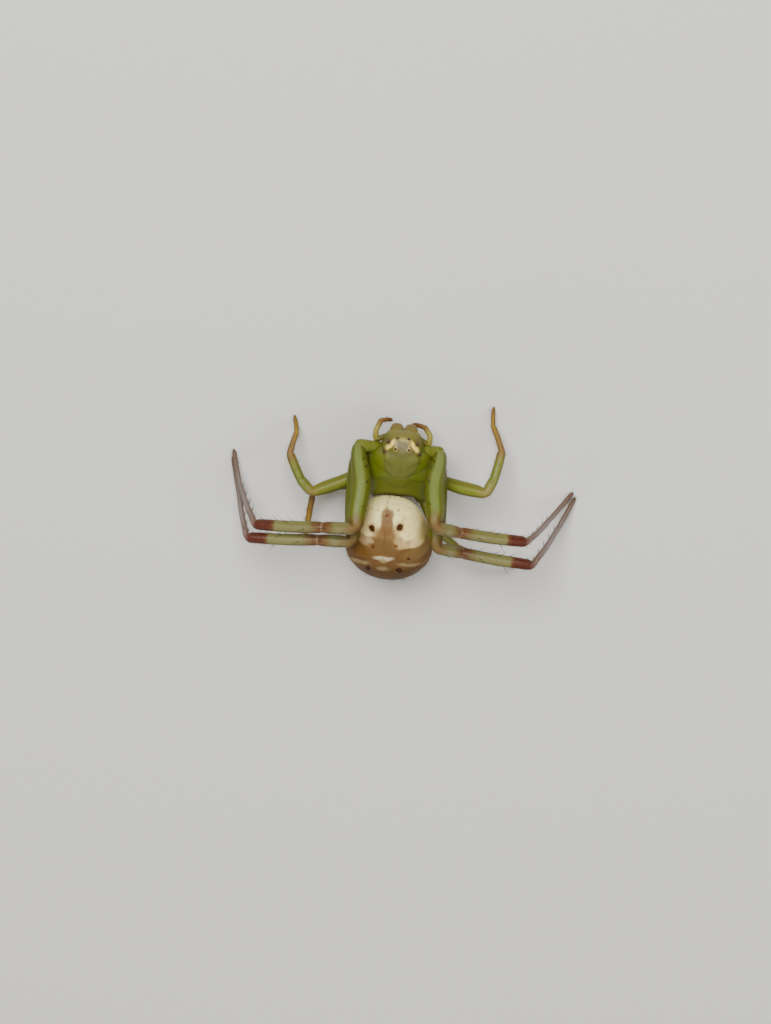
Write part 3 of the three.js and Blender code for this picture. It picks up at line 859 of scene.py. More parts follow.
def banded_material(
    name, roughness, ior, value, stops, mottling, grain, place=plan_place, **sockets,
):
    """A finish whose colour changes with one value of the mesh, finely mottled and grained."""
    material, tree, shader = new_material(name, roughness, ior, **sockets)
    along = node(tree, "ShaderNodeAttribute", {"attribute_name": value}).outputs["Fac"]
    base = node(tree, "ShaderNodeValToRGB", None, {"Fac": along}, stops).outputs["Color"]
    surfaced(tree, shader, base, place(tree), mottling, grain)
    return material


# Marks on the abdomen's back, in millimetres across (left is +) and along (rear is +):
# centre, half sizes, turn in degrees, softness of the edge, colour and strength.
ABDOMEN_MARKS = (
    # Dark brown over the rear: the abdomen's own brown, deepened by painted shade away from the
    # light.
    ((-0.085, 1.5), (1.6, 0.72), 0, 0.4, "#42280a", 0.95),
    ((-1.1, 0.8), (0.45, 0.26), -10, 0.5, "#482e0e", 0.6),
    ((1.1, 0.82), (0.4, 0.22), 10, 0.5, "#523614", 0.5),
    ((0.05, 1.1), (0.5, 0.16), 0, 0.5, "#6a4a20", 0.45),
    ((-1.48, 0.05), (0.2, 0.4), 0, 0.5, "#523812", 0.6),
    ((-0.085, -1.3), (1.55, 0.66), 0, 0.12, "cream", 1.0),
    ((-0.885, -0.8), (0.66, 0.5), 0, 0.2, "#fee79c", 1.0),
    ((0.915, -0.95), (0.5, 0.36), 20, 0.16, "#ffe8a6", 1.0),
    ((-1.5, -0.75), (0.32, 0.6), 0, 0.5, "#7d6c2c", 0.85),
    ((0.085, -1.5), (0.045, 0.2), -8, 0.8, "#a08a5e", 0.65),
    ((0.015, -1.08), (0.26, 0.34), 0, 0.25, "#7b5a33", 0.95),
    ((-0.08, -1.41), (0.14, 0.15), 0, 0.3, "#87684a", 0.9),
    ((0.13, -1.41), (0.13, 0.15), 0, 0.3, "#87684a", 0.9),
    ((0.03, -1.4), (0.14, 0.15), 0, 0.3, "#87684a", 0.9),
    ((0.02, -1.3), (0.2, 0.14), 0, 0.35, "#806040", 0.9),
    ((0.035, -1.38), (0.1, 0.09), 0, 0.5, "#8a6a44", 0.8),
    ((0.035, -0.75), (0.44, 0.32), 0, 0.35, "#7b5932", 0.95),
    ((0.035, -0.3), (0.62, 0.34), 0, 0.4, "#725633", 0.95),
    ((0.965, -0.45), (0.36, 0.18), 12, 0.45, "#b3956a", 0.9),
    ((0.615, -0.5), (0.16, 0.1), 0, 0.5, "#c6ae80", 0.8),
    ((-0.705, -0.42), (0.32, 0.14), -10, 0.45, "#c8a871", 0.9),
    ((-1.135, -0.36), (0.2, 0.12), 0, 0.5, "#dcc68c", 0.8),
    ((-0.5, -0.62), (0.16, 0.12), 30, 0.6, "#a5865c", 0.8),
    ((-0.82, -0.52), (0.1, 0.07), 0, 0.6, "#b99d74", 0.7),
    ((-0.56, -1.3), (0.1, 0.08), 20, 0.7, "#d2b980", 0.6),
    ((1.035, 0.0), (0.5, 0.24), 8, 0.3, "#6a4a19", 0.95),
    ((-1.135, 0.02), (0.48, 0.24), -8, 0.3, "#765c34", 0.95),
    ((0.055, 0.0), (0.5, 0.12), 0, 0.5, "#76562d", 0.7),
    ((1.015, 0.59), (0.47, 0.1), -16, 0.35, "#8f7e56", 0.95),
    ((1.015, 0.4), (0.4, 0.05), -16, 0.6, "#56320b", 0.6),
    ((0.055, 0.15), (0.36, 0.095), 0, 0.35, "#cdbe9a", 0.95),
    ((0.055, 0.25), (0.14, 0.1), 0, 0.5, "#a58f5e", 0.8),
    ((-0.885, 0.45), (0.42, 0.08), 12, 0.45, "#927f5a", 0.9),
    ((0.055, 0.68), (0.22, 0.11), 0, 0.5, "#93815c", 0.85),
    ((0.055, -0.6), (0.03, 0.45), 0, 0.7, "#6a4920", 0.6),
    ((0.555, -0.92), (0.17, 0.17), 0, 0.5, "#935f1e", 0.7),
    ((-0.455, -1.06), (0.17, 0.17), 0, 0.5, "#935f1e", 0.7),
    ((0.555, -0.92), (0.115, 0.12), 0, 0.25, "#320a00", 1.0),
    ((-0.455, -1.06), (0.115, 0.13), 0, 0.25, "#320a00", 1.0),
    ((0.655, 0.79), (0.12, 0.15), 10, 0.25, "#2a0800", 1.0),
    ((-0.555, 0.71), (0.12, 0.15), -10, 0.25, "#2a0800", 1.0),
    ((-0.855, 0.16), (0.06, 0.05), 0, 0.4, "#360c00", 1.0),
    ((0.035, -1.4), (0.05, 0.05), 0, 0.5, "#5c2e0c", 0.85),
    ((0.465, -0.28), (0.075, 0.075), 0, 0.5, "#5b2e06", 0.8),
    ((-0.395, -0.38), (0.075, 0.075), 0, 0.5, "#5b2e06", 0.8),
    ((0.435, -1.48), (0.035, 0.03), 0, 0.5, "#765925", 0.8),
    ((-0.345, -1.55), (0.035, 0.025), 0, 0.5, "#765925", 0.8),
    ((-0.265, -0.96), (0.04, 0.04), 0, 0.6, "#7a440d", 0.7),
)


def abdomen_material():
    """Abdomen: thin, soft, tightly stretched skin over cream deposits, which scatters the light."""
    material, tree, shader = new_material(
        "stretched abdomen skin", 0.5, 1.4,
        **{"Specular IOR Level": 0.13, "Subsurface Weight": 0.25},
        **{"Subsurface Radius": (1.0, 0.6, 0.3), "Subsurface Scale": 0.18 * MM},
    )
    plan = plan_place(tree)
    side = node(
        tree, "ShaderNodeValToRGB", None, {"Fac": upper_share(tree)},
        ((0.0, "#a89566"), (0.42, "#6e5020"), (0.56, "#5c3c10"), (0.72, "tan"), (1.0, "tan")),
    ).outputs["Color"]
    place = wavering(tree, wavering(tree, plan, 3.2, 0.16), 11.0, 0.07)
    marked = mark_over(tree, side, place, ABDOMEN_MARKS)
    surfaced(tree, shader, marked, plan, (9.0, "#8a6a3c", 0.16), (26.0, 0.006))
    return material


# Marks on the carapace, in millimetres across (left is +) and forward, laid out like the abdomen's.
CARAPACE_MARKS = (
    ((0.0, 0.6), (0.9, 0.34), 0, 0.5, "#545c04", 0.75),
    # Painted shade: a dark olive band over the rear slope, where the abdomen overhangs it.
    ((0.0, -0.1), (1.3, 0.2), 0, 0.6, "#463f0a", 0.8),
    ((0.0, 1.46), (0.63, 0.6), 0, 0.07, "#65692b", 1.0),
    ((0.0, 2.18), (0.76, 0.42), 0, 0.2, "head", 1.0),
    ((0.0, 2.5), (0.6, 0.16), 0, 0.4, "#72672a", 0.8),
    ((0.0, 1.32), (0.018, 0.2), 0, 0.8, "#4c4c16", 0.7),
    ((-0.68, 1.6), (0.03, 0.12), 0, 0.5, "#282601", 0.8),
    ((0.56, 1.72), (0.05, 0.13), 20, 0.6, "#7e7439", 0.7),
    ((0.0, 2.16), (0.3, 0.17), 0, 0.5, "#68591c", 0.85),
    ((0.46, 2.13), (0.07, 0.24), -40, 0.45, "#ffe270", 1.0),
    ((-0.46, 2.13), (0.07, 0.24), 40, 0.45, "#ffe270", 1.0),
    ((0.25, 2.2), (0.045, 0.1), 0, 0.6, "#b59c58", 0.7),
    ((-0.26, 2.18), (0.045, 0.1), 0, 0.6, "#b59c58", 0.7),
    ((0.26, 2.05), (0.08, 0.075), 0, 0.4, "#b89655", 0.85),
    ((-0.26, 2.05), (0.08, 0.075), 0, 0.4, "#b89655", 0.85),
    ((0.0, 2.36), (0.15, 0.055), 0, 0.6, "#b09c54", 0.85),
    ((-0.2, 2.31), (0.06, 0.05), 0, 0.6, "#a8925a", 0.7),
    ((0.66, 1.86), (0.1, 0.09), 0, 0.4, "#48310b", 0.7),
    ((-0.66, 1.86), (0.1, 0.09), 0, 0.4, "#48310b", 0.7),
    ((0.525, 2.22), (0.1, 0.1), 0, 0.4, "#563a11", 0.7),
    ((-0.525, 2.22), (0.1, 0.1), 0, 0.4, "#563a11", 0.7),
)


def carapace_material():
    """Carapace: a clear hard plate over green body fluid, smooth and a little glossy."""
    material, tree, shader = new_material(
        "clear olive carapace plate", 0.4, 1.5,
        **{"Specular IOR Level": 0.35, "Subsurface Weight": 0.2},
        **{"Subsurface Radius": (0.7, 1.0, 0.2), "Subsurface Scale": 0.15 * MM},
    )
    plan = plan_place(tree)
    sunk = node(tree, "ShaderNodeAttribute", {"attribute_name": "sunk"}).outputs["Fac"]
    side = node(
        tree, "ShaderNodeValToRGB", None, {"Fac": upper_share(tree)},
        (
            (0.0, "#7d7a38"), (0.45, "#565c0c"), (0.62, "#535a06"), (0.85, "olive"),
            (1.0, "#666e18"),
        ),
    ).outputs["Color"]
    marked = mark_over(tree, side, wavering(tree, plan, 4.0, 0.05), CARAPACE_MARKS)
    # Painted shade in the grooves: the deeper a point lies in one, the more dark olive is laid over
    # it.
    pressed = node(tree, "ShaderNodeMapRange", None, {"Value": sunk, "To Max": 0.65}).outputs[0]
    groove_shaded = node(
        tree, "ShaderNodeMix", {"data_type": "RGBA"},
        {"Factor": pressed, "A": marked, "B": colour("#42460c")},
    ).outputs[2]
    surfaced(tree, shader, groove_shaded, plan, (14.0, "#565a14", 0.22), (40.0, 0.003))
    return material


# Colours along a leg, from the thigh's seat at 0 to the toe's tip at LEG_END: first on its
# flanks, then on top, where they are lighter partly by the leg's own pale stripe and partly by
# a painted highlight along the top.
LEG_END = 5
FRONT_FLANK = (
    (0.0, "#4f5506"), (0.86, "leg_green"), (0.93, "#5c4618"), (1.02, "#62461f"),
    (1.2, "#6d6338"), (1.6, "#6a6a38"), (1.76, "#5e481c"), (1.84, "#5e3a1c"), (1.98, "#553014"),
    (2.01, "#7c6340"), (2.04, "#552e14"), (2.13, "#5f401e"), (2.22, "#6a6735"),
    (2.68, "#706f3c"), (2.72, "#54220e"), (2.77, "leg_band"), (2.95, "leg_band"),
    (3.02, "#674e42"), (3.5, "#70605c"), (4.0, "#6a5852"), (4.1, "#6b584e"), (4.9, "#5c4030"),
    (5.0, "#402414"),
)
FRONT_TOP_AND_HIGHLIGHT = (
    (0.0, "#646d2c"), (0.1, "#6c7738"), (0.8, "leg_stripe_and_highlight"), (0.9, "#74673a"), (1.0, "#745a30"),
    (1.12, "#765f36"), (1.5, "#838056"), (1.74, "#745e34"), (1.84, "#70502e"), (1.98, "#6c482a"),
    (2.01, "#8f7956"), (2.04, "#6b4226"), (2.15, "#736640"), (2.26, "#7e7b4e"),
    (2.68, "#807d4c"), (2.72, "#62301e"), (2.78, "#561e16"), (2.95, "#541f16"),
    (3.02, "#7a625a"), (3.5, "#807476"), (4.0, "#786c6c"), (4.9, "#665046"), (5.0, "#442818"),
)
HIND_FLANK = (
    (0.0, "#565b09"), (0.85, "#686a17"), (1.0, "#7d6d2d"), (1.2, "#7e7436"), (1.7, "#6a7027"),
    (2.2, "#656e22"), (2.6, "#6e6e2a"), (2.85, "#735a2a"), (3.1, "#6e5026"), (4.0, "#80601c"),
    (4.9, "#6c4a18"), (5.0, "#40230c"),
)
HIND_TOP_AND_HIGHLIGHT = (
    (0.0, "#6a7025"), (0.5, "#79822c"), (0.85, "#7a8028"), (1.0, "#8f7e3f"), (1.3, "#868144"),
    (1.9, "#7a8340"), (2.5, "#7e853e"), (2.85, "#866f3c"), (3.2, "#806436"), (4.0, "#917522"),
    (4.9, "#745820"), (5.0, "#47280f"),
)
FEELER_COLOURS = (
    (0.0, "#504d11"), (0.8, "#60551f"), (1.1, "#887f30"), (2.2, "#948a38"), (2.8, "#7a5a2b"),
    (3.3, "#6f481c"), (4.0, "#4c280a"), (5.0, "#3f1d06"),
)


def along_leg(tree, part, stops):
    """Colours along a limb."""
    share = node(tree, "ShaderNodeMapRange", None, {"Value": part, "From Max": LEG_END}).outputs[0]
    shares = tuple((place / LEG_END, code) for place, code in stops)
    return node(tree, "ShaderNodeValToRGB", None, {"Fac": share}, shares).outputs["Color"]


def limb_material():
    """Legs and feelers: thin clear cuticle over green fluid, with pigment in rings near joints."""
    material, tree, shader = new_material(
        "ringed leg cuticle", 0.42, 1.5,
        **{"Specular IOR Level": 0.22, "Subsurface Weight": 0.25},
        **{"Subsurface Radius": (1.0, 0.8, 0.3), "Subsurface Scale": 0.1 * MM},
    )
    plan = plan_place(tree)
    part, leg, top = (
        node(tree, "ShaderNodeAttribute", {"attribute_name": name}).outputs["Fac"]
        for name in ("part", "leg", "top")
    )
    # The rings' edges are ragged: noise moves them up to 0.03 of a piece to either side.
    noise = node(tree, "ShaderNodeTexNoise", None, {"Vector": plan, "Scale": 6.0, "Detail": 2.0})
    ragged = node(
        tree, "ShaderNodeMath", {"operation": "MULTIPLY_ADD"},
        {0: noise.outputs["Fac"], 1: 0.06, 2: part},
    ).outputs[0]
    even = node(tree, "ShaderNodeMath", {"operation": "SUBTRACT"}, {0: ragged, 1: 0.03}).outputs[0]
    # The hindmost legs have the browns of a foot from the knee on.
    hindmost = node(
        tree, "ShaderNodeMath", {"operation": "COMPARE"}, {0: leg, 1: 4.0, 2: 0.4},
    ).outputs[0]
    ahead = node(
        tree, "ShaderNodeMapRange", {"interpolation_type": "SMOOTHSTEP"},
        {"Value": part, "From Min": 0.8, "From Max": 1.9, "To Max": 1.0},
    ).outputs["Result"]
    along = node(
        tree, "ShaderNodeMath", {"operation": "MULTIPLY_ADD"}, {0: hindmost, 1: ahead, 2: even},
    ).outputs[0]
    # Where a limb faces up, the top colours take over: its pale stripe with a painted highlight on
    # it.
    crest_stripe_and_highlight = node(
        tree, "ShaderNodeMapRange", {"interpolation_type": "SMOOTHSTEP"},
        {"Value": top, "From Min": 0.8, "From Max": 0.95},
    ).outputs["Result"]
    kinds = []
    for flank, upper in ((FRONT_FLANK, FRONT_TOP_AND_HIGHLIGHT), (HIND_FLANK, HIND_TOP_AND_HIGHLIGHT)):
        mixed = node(
            tree, "ShaderNodeMix", {"data_type": "RGBA"},
            {
                "Factor": crest_stripe_and_highlight, "A": along_leg(tree, along, flank),
                "B": along_leg(tree, along, upper),
            },
        )
        kinds.append(mixed.outputs[2])
    kinds.append(along_leg(tree, along, FEELER_COLOURS))
    hip = node(
        tree, "ShaderNodeValToRGB", None, {"Fac": upper_share(tree)},
        ((0.0, "#8a8a4a"), (0.5, "#5f6618"), (1.0, "#6a7223")),
    )
    kinds.append(hip.outputs["Color"])
    below = kinds[0]
    for first_kind, upper_kind in zip((3, FEELER_KIND, HIP_KIND), kinds[1:]):
        here = node(
            tree, "ShaderNodeMath", {"operation": "GREATER_THAN"}, {0: leg, 1: first_kind - 0.5},
        )
        mixed = node(
            tree, "ShaderNodeMix", {"data_type": "RGBA"},
            {"Factor": here.outputs[0], "A": below, "B": upper_kind},
        )
        below = mixed.outputs[2]
    surfaced(tree, shader, below, plan, (16.0, "#6b5a2c", 0.2), (45.0, 0.003))
    return material


def eye_material():
    """Eyes: clear, polished lenses over a dark cup, ringed by a lighter brown rim."""
    return banded_material(
        "polished dark eye lens", 0.12, 1.45, "top",
        ((0.0, "#6a4a2a"), (0.35, "#4a2a14"), (0.6, "#3a1e08"), (1.0, "#341a04")),
        (30.0, "#140a05", 0.3), (60.0, 0.0005), **{"Coat Weight": 0.15, "Coat Roughness": 0.04},
    )


def jaw_material():
    """Jaws: hard satin cuticle, olive like the head and brown towards the fang."""
    return banded_material(
        "brown jaw cuticle", 0.42, 1.5, "part",
        ((0.0, "#6a6424"), (0.4, "#6c622a"), (0.8, "#6e562a"), (1.0, "#5a4022")),
        (14.0, "#5f4a2a", 0.35), (40.0, 0.004), **{"Specular IOR Level": 0.15},
    )


def horn_material(name, code, tip):
    """Fangs, claws and spines: hard, dark, smooth horn that turns clear red brown to its point."""
    stops = ((0.0, code), (0.6, code), (1.0, tip))
    return banded_material(
        name, 0.22, 1.54, "part", stops, (30.0, "#1d0f08", 0.3), (60.0, 0.0005),
    )


def hair_material():
    """Hairs: fine clear brown bristles, paler at the root."""
    return banded_material(
        "fine brown bristle", 0.55, 1.55, "part",
        ((0.0, "#8a744a"), (0.5, "#6e5430"), (1.0, "#503a20")),
        (20.0, "#4a3319", 0.3), (80.0, 0.0003), place=object_place,
    )


def board_material():
    """Floor: a matte board painted warm pale grey, whose faint tooth keeps the shadows clear."""
    material, tree, shader = new_material("matte painted board", 0.8)
    shader.inputs["Base Color"].default_value = colour("#dddcd6")
    grained(tree, shader, object_place(tree), 3.0, 0.01)
    return material


# The skin's unwrap: a square each for carapace and abdomen, and strips below them for the limbs.
CARAPACE_PATCH = (0.51, 0.51, 0.99, 0.99)
ABDOMEN_PATCH = (0.01, 0.51, 0.49, 0.99)
STRIPS = 24
STRIP_MARGIN = 0.002
WAIST_PROFILE = ((0, 1), (0.9, 1), (1, 0.9))
SPINNERET_PROFILE = ((0, 1), (0.6, 1), (0.85, 0.75), (0.95, 0.5), (1, 0.2))
# The big lower pair of spinnerets and the small upper one: share of the distance apart, lift in
# millimetres and share of the length.
SPINNERET_PAIRS = ((1, 0, 1), (0.7, 0.16, 0.75))


def limb_strips():
    """The strips of the unwrap, from the lowest up."""
    for row in range(STRIPS):
        low, high = 0.5 * row / STRIPS, 0.5 * (row + 1) / STRIPS
        yield (0.01, low + STRIP_MARGIN, 0.99, high - STRIP_MARGIN)


def build_waist_and_spinnerets(shell, slot, strips):
    ends = [np.array(WAIST["start"]), np.array(WAIST["end"])]
    radii = (WAIST["radius"],)
    build_limb(
        shell, slot, next(strips), ends, radii, (WAIST_PROFILE,), (0,), BODY_KIND, step=0.06,
    )
    for apart, lift, share in SPINNERET_PAIRS:
        for side in SIDES.values():
            across_by, up_by = side * SPINNERETS["side"] * apart, lift - SPINNERETS["drop"]
            root = ABDOMEN_TURN @ np.array([across_by, SPINNERETS["back"], up_by])
            root = root + np.array(ABDOMEN_CENTRE)
            end = root + SPINNERETS["length"] * share * direction(side, 180, SPINNERETS["rise"])
            build_limb(
                shell, slot, next(strips), [root, end], (SPINNERETS["radius"],),
                (SPINNERET_PROFILE,), (0,), BODY_KIND, step=0.03,
            )


def build_feeler(shell, slot, strips, side_name):
    profiles = (PROFILES[1], PROFILES[1], PROFILES[1], PROFILES[4])
    build_limb(
        shell, slot, next(strips), feeler_joints(side_name), FEELER_RADII, profiles, FEELER_BOWS,
        FEELER_KIND, step=0.03, sides=16,
    )


def build_leg(shell, slot, strips, side_name, pair):
    leg = LEGS[pair]
    joints = leg_joints(pair, side_name)
    hip = [on_carapace(SIDES[side_name], leg["hip"]), joints[0]]
    hip[1] = hip[1] + HIP_OVERLAP * unit(hip[1] - hip[0])
    build_limb(
        shell, slot, next(strips), hip, leg["radii"][:1], (HIP_PROFILE,), (0,), HIP_KIND, step=0.02,
    )
    bows = (THIGH_BOWS[pair], *BOWS)
    build_limb(shell, slot, next(strips), joints, leg["radii"][1:], PROFILES, bows, float(pair))


class SPIDER_OT_skin(bpy.types.Operator):
    """Builds the skin of body, legs and feelers as one piece."""

    bl_idname = "spider.skin"
    bl_label = "Skin"

    def execute(self, context):
        shell = Shell()
        carapace, abdomen, limb = range(3)
        build_carapace(shell, carapace, CARAPACE_PATCH)
        build_abdomen(shell, abdomen, ABDOMEN_PATCH)
        strips = limb_strips()
        build_waist_and_spinnerets(shell, abdomen, strips)
        nodes = ["carapace", "abdomen", "spinnerets"]
        for side_name in SIDES:
            build_feeler(shell, limb, strips, side_name)
            nodes.append(f"feeler_{side_name}")
            for pair in LEGS:
                build_leg(shell, limb, strips, side_name, pair)
                for piece in ("hip", "thigh", "shin", "foot"):
                    nodes.append(f"leg_{pair}_{side_name}_{piece}")
        skin = shell.make("skin", [carapace_material(), abdomen_material(), limb_material()])
        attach(skin, "root")
        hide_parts(*nodes)
        return {"FINISHED"}


# Spines, laid out as in the solids: rows on a piece, between which fractions of its length, the
# turns about it from the side that faces into the bend, the lean from its length, the length and
# the radius.
SPINES = {
    "thigh": (4, 0.42, 0.72, (0,), 55, 0.2, 0.017),
    "shin": (4, 0.22, 0.86, (-24, 24), 42, 0.36, 0.015),
    "foot": (5, 0.1, 0.88, (-26, 26), 40, 0.3, 0.013),
}
SPINY_PIECES = {1: ("thigh", "shin", "foot"), 2: ("shin", "foot")}
SPINE_SEED = 4127
# Where a spine's root lies in the limb, as a share of its radius, and the rise of the side of the
# thigh that carries spines.
SPINE_ROOT = 0.6
INWARD_RISE = 0.35
# How far spines stray by chance: the whole range of turn and lean in degrees and of the place as a
# share of the piece, and the least share of the length with what chance adds to it.
STRAY = {"turn": 10, "lean": 10, "place": 0.03, "least": 0.85, "added": 0.3}

# Short thick spines on the inner side of the front thighs, then long bristles on all legs: pairs of
# legs, place along the joints, turn from the top towards the outer side, lean, length and radius.
BRISTLES = (
    ((1,), 0.2, -26, 100, 0.24, 0.021),
    ((1,), 0.31, -34, 122, 0.36, 0.023),
    ((1,), 0.5, -34, 122, 0.36, 0.023),
    ((1,), 0.77, -32, 100, 0.24, 0.02),
    ((1, 2), 0.55, 10, 60, 0.22, 0.012),
    ((1, 2), 1.3, -20, 55, 0.4, 0.012),
    ((1, 2), 1.85, 15, 60, 0.5, 0.012),
    ((1, 2), 2.25, 0, 62, 0.62, 0.013),
    ((1, 2), 2.5, 60, 55, 0.5, 0.012),
    ((1, 2), 2.6, -60, 55, 0.5, 0.012),
    ((1, 2), 3.12, 0, 50, 0.4, 0.012),
    ((3, 4), 0.6, 0, 60, 0.2, 0.01),
    ((3, 4), 1.6, 10, 60, 0.3, 0.01),
    ((3, 4), 2.4, 0, 58, 0.34, 0.01),
    ((3, 4), 2.5, 120, 45, 0.26, 0.01),
    ((3, 4), 3.3, 150, 42, 0.24, 0.01),
    ((3, 4), 3.6, -150, 42, 0.22, 0.01),
)
# A bristle's root as a share of the limb's radius, what is added for the rest of the radius, and
# how long the bristles of the hind legs are beside the table.
BRISTLE_ROOT = 0.8
BRISTLE_SUNK = 0.2
HIND_BRISTLES = 0.8

# Claws: length and radius, half the angle between two, how much they lift, and how far their roots
# stand out, back and up from the toe's tip.
CLAW = {"length": 0.12, "radius": 0.016, "apart": 16, "lift": 0.25}
CLAW_ROOT = {"out": 0.02, "back": 0.03, "up": 0.045}

DRAW_FACTOR = 16807
DRAW_RANGE = 2147483647


def seeded_draw(seed):
    """A draw from 0 to 1, the same one that places the spines of the solids."""
    state = seed

    def draw():
        nonlocal state
        state = state * DRAW_FACTOR % DRAW_RANGE
        return state / DRAW_RANGE

    return draw


def turned(vector, axis, degrees):
    return np.array(Matrix.Rotation(radians(degrees), 3, Vector(axis)) @ Vector(vector))


def square_to(vector, way):
    """The part of a vector that is square to a way, as a unit vector."""
    return unit(vector - (vector @ way) * way)


def spine_rows(spikes, draw, start, end, limb_radius, inward, rows):
    count, first, last, turns, mean_lean, mean_length, radius = rows
    along = unit(end - start)
    face = square_to(inward, along)
    for i in range(count):
        fraction = first + (last - first) * i / (count - 1)
        for turn in turns:
            out = turned(face, along, turn + (draw() - 0.5) * STRAY["turn"])
            lean = radians(mean_lean + (draw() - 0.5) * STRAY["lean"])
            way = out * math.sin(lean) + along * math.cos(lean)
            place = start + (end - start) * (fraction + (draw() - 0.5) * STRAY["place"])
            root = place + out * limb_radius * SPINE_ROOT
            length = mean_length * (STRAY["least"] + STRAY["added"] * draw())
            spikes.append((root, way, along, length + limb_radius * (1 - SPINE_ROOT), radius))


def leg_spikes():
    """Root, way, bend, length and radius of every spine and bristle of the legs."""
    spikes = []
    draw = seeded_draw(SPINE_SEED)
    for side_name, side in SIDES.items():
        for pair, leg in LEGS.items():
            joints = leg_joints(pair, side_name)
            radii = leg["radii"][1:]
            facings = {
                "thigh": (0, np.array([-side, 0.0, INWARD_RISE])),
                "shin": (2, unit(joints[4] - joints[3])),
                "foot": (3, unit(joints[2] - joints[3])),
            }
            for name in SPINY_PIECES.get(pair, ()):
                piece, inward = facings[name]
                ends = joints[piece], joints[piece + 1]
                spine_rows(spikes, draw, *ends, radii[piece], inward, SPINES[name])
            path, parts = limb_path(joints, radii, (THIGH_BOWS[pair], *BOWS), LIMB_STEP)
            for pairs, place, turn, lean, length, radius in BRISTLES:
                if pair not in pairs:
                    continue
                piece = int(place)
                along = unit(joints[piece + 1] - joints[piece])
                out = turned(square_to(UP, along), along, turn * side)
                way = out * math.sin(radians(lean)) + along * math.cos(radians(lean))
                centre = np.array([np.interp(place, parts, path[:, axis]) for axis in range(3)])
                root = centre + out * radii[piece] * BRISTLE_ROOT
                reach = length if pair < 3 else HIND_BRISTLES * length
                spikes.append((root, way, along, reach + BRISTLE_SUNK * radii[piece], radius))
    return spikes


def claw_spikes():
    """Two small hooked claws at the end of each toe."""
    spikes = []
    for side_name in SIDES:
        for pair in LEGS:
            joints = leg_joints(pair, side_name)
            along = unit(joints[5] - joints[4])
            flank = unit(np.cross(along, UP))
            down = np.cross(along, flank)
            down = down if down[2] < 0 else -down
            for apart in (-1, 1):
                opening = flank * apart * math.tan(radians(CLAW["apart"]))
                way = unit(along + opening + CLAW["lift"] * UP)
                root = joints[5] + flank * apart * CLAW_ROOT["out"] - along * CLAW_ROOT["back"]
                root = root + CLAW_ROOT["up"] * UP
                spikes.append((root, way, down, CLAW["length"], CLAW["radius"]))
    return spikes


# How a spike narrows to its tip, and the size in millimetres that its grain is laid out for.
TAPER = 0.8
SPIKE_SIZE = (0.02, 0.02, 0.3)


def spike_shape(name, sides, rows, bend):
    """A bent pointed cone one unit long, whose bend is given in its own radii."""
    points = []
    for i in range(rows):
        height = i / rows
        size = (1 - height) ** TAPER
        for j in range(sides):
            turn = 2 * math.pi * j / sides
            x, y = size * math.cos(turn) + bend * height**2, size * math.sin(turn)
            points.append((x, y, height))
    points += [(bend, 0.0, 1.0), (0.0, 0.0, 0.0)]
    tip, base, last = len(points) - 2, len(points) - 1, (rows - 1) * sides
    around = [(j, (j + 1) % sides) for j in range(sides)]
    faces = [
        (row + j, row + k, row + sides + k, row + sides + j)
        for row in range(0, last, sides)
        for j, k in around
    ]
    faces += [(last + j, last + k, tip) for j, k in around]
    faces += [(k, j, base) for j, k in around]
    mesh = bpy.data.meshes.new(name)
    mesh.from_pydata(points, [], faces)
    mesh.polygons.foreach_set("use_smooth", [True] * len(faces))
    carry(mesh, "part", [height for _, _, height in points])
    carry(mesh, "plan", np.array(points) * SPIKE_SIZE)
    # The spike's place on its own patch of the unwrap: its width across and its height up.
    bits = []
    for loop in mesh.loops:
        x, _, height = points[loop.vertex_index]
        bits += [0.5 + 0.4 * (x - bend * height * height), height]
    mesh.attributes.new("bit", "FLOAT2", "CORNER").data.foreach_set("vector", bits)
    return bpy.data.objects.new(name, mesh)


def new_tree(name, **own):
    """A node tree for spikes on a base, with the inputs that all need and some of its own."""
    tree = bpy.data.node_groups.new(name, "GeometryNodeTree")
    add_inputs(tree, Geometry="Geometry", Object="Shape", Float="Patch", Material="Finish")
    add_inputs(tree, **own)
    tree.interface.new_socket("Geometry", in_out="OUTPUT", socket_type="NodeSocketGeometry")
    return tree, node(tree, "NodeGroupInput").outputs


def finish_tree(tree, given, points, rotation, scale):
    """Puts a shape on each point, makes it real, and gives it its unwrap and its finish."""
    shape = node(tree, "GeometryNodeObjectInfo", None, {"Object": given["Shape"]})
    placed = node(
        tree, "GeometryNodeInstanceOnPoints", None,
        {
            "Points": points, "Instance": shape.outputs["Geometry"], "Rotation": rotation,
            "Scale": scale,
        },
    )
    real = node(
        tree, "GeometryNodeRealizeInstances", None, {"Geometry": placed.outputs["Instances"]},
    )
    bit, root = (
        node(
            tree, "GeometryNodeInputNamedAttribute", {"data_type": "FLOAT_VECTOR"}, {"Name": name},
        ).outputs[0]
        for name in ("bit", "root")
    )
    corner = node(
        tree, "ShaderNodeVectorMath", {"operation": "SCALE"}, {0: bit, "Scale": given["Patch"]},
    )
    unwrapped = node(
        tree, "ShaderNodeVectorMath", {"operation": "ADD"}, {0: corner.outputs[0], 1: root},
    )
    stored = node(
        tree, "GeometryNodeStoreNamedAttribute", {"data_type": "FLOAT2", "domain": "CORNER"},
        {"Geometry": real.outputs["Geometry"], "Name": "OFBake", "Value": unwrapped.outputs[0]},
    )
    finished = node(
        tree, "GeometryNodeSetMaterial", None,
        {"Geometry": stored.outputs["Geometry"], "Material": given["Finish"]},
    )
    output = node(tree, "NodeGroupOutput")
    tree.links.new(finished.outputs["Geometry"], output.inputs["Geometry"])


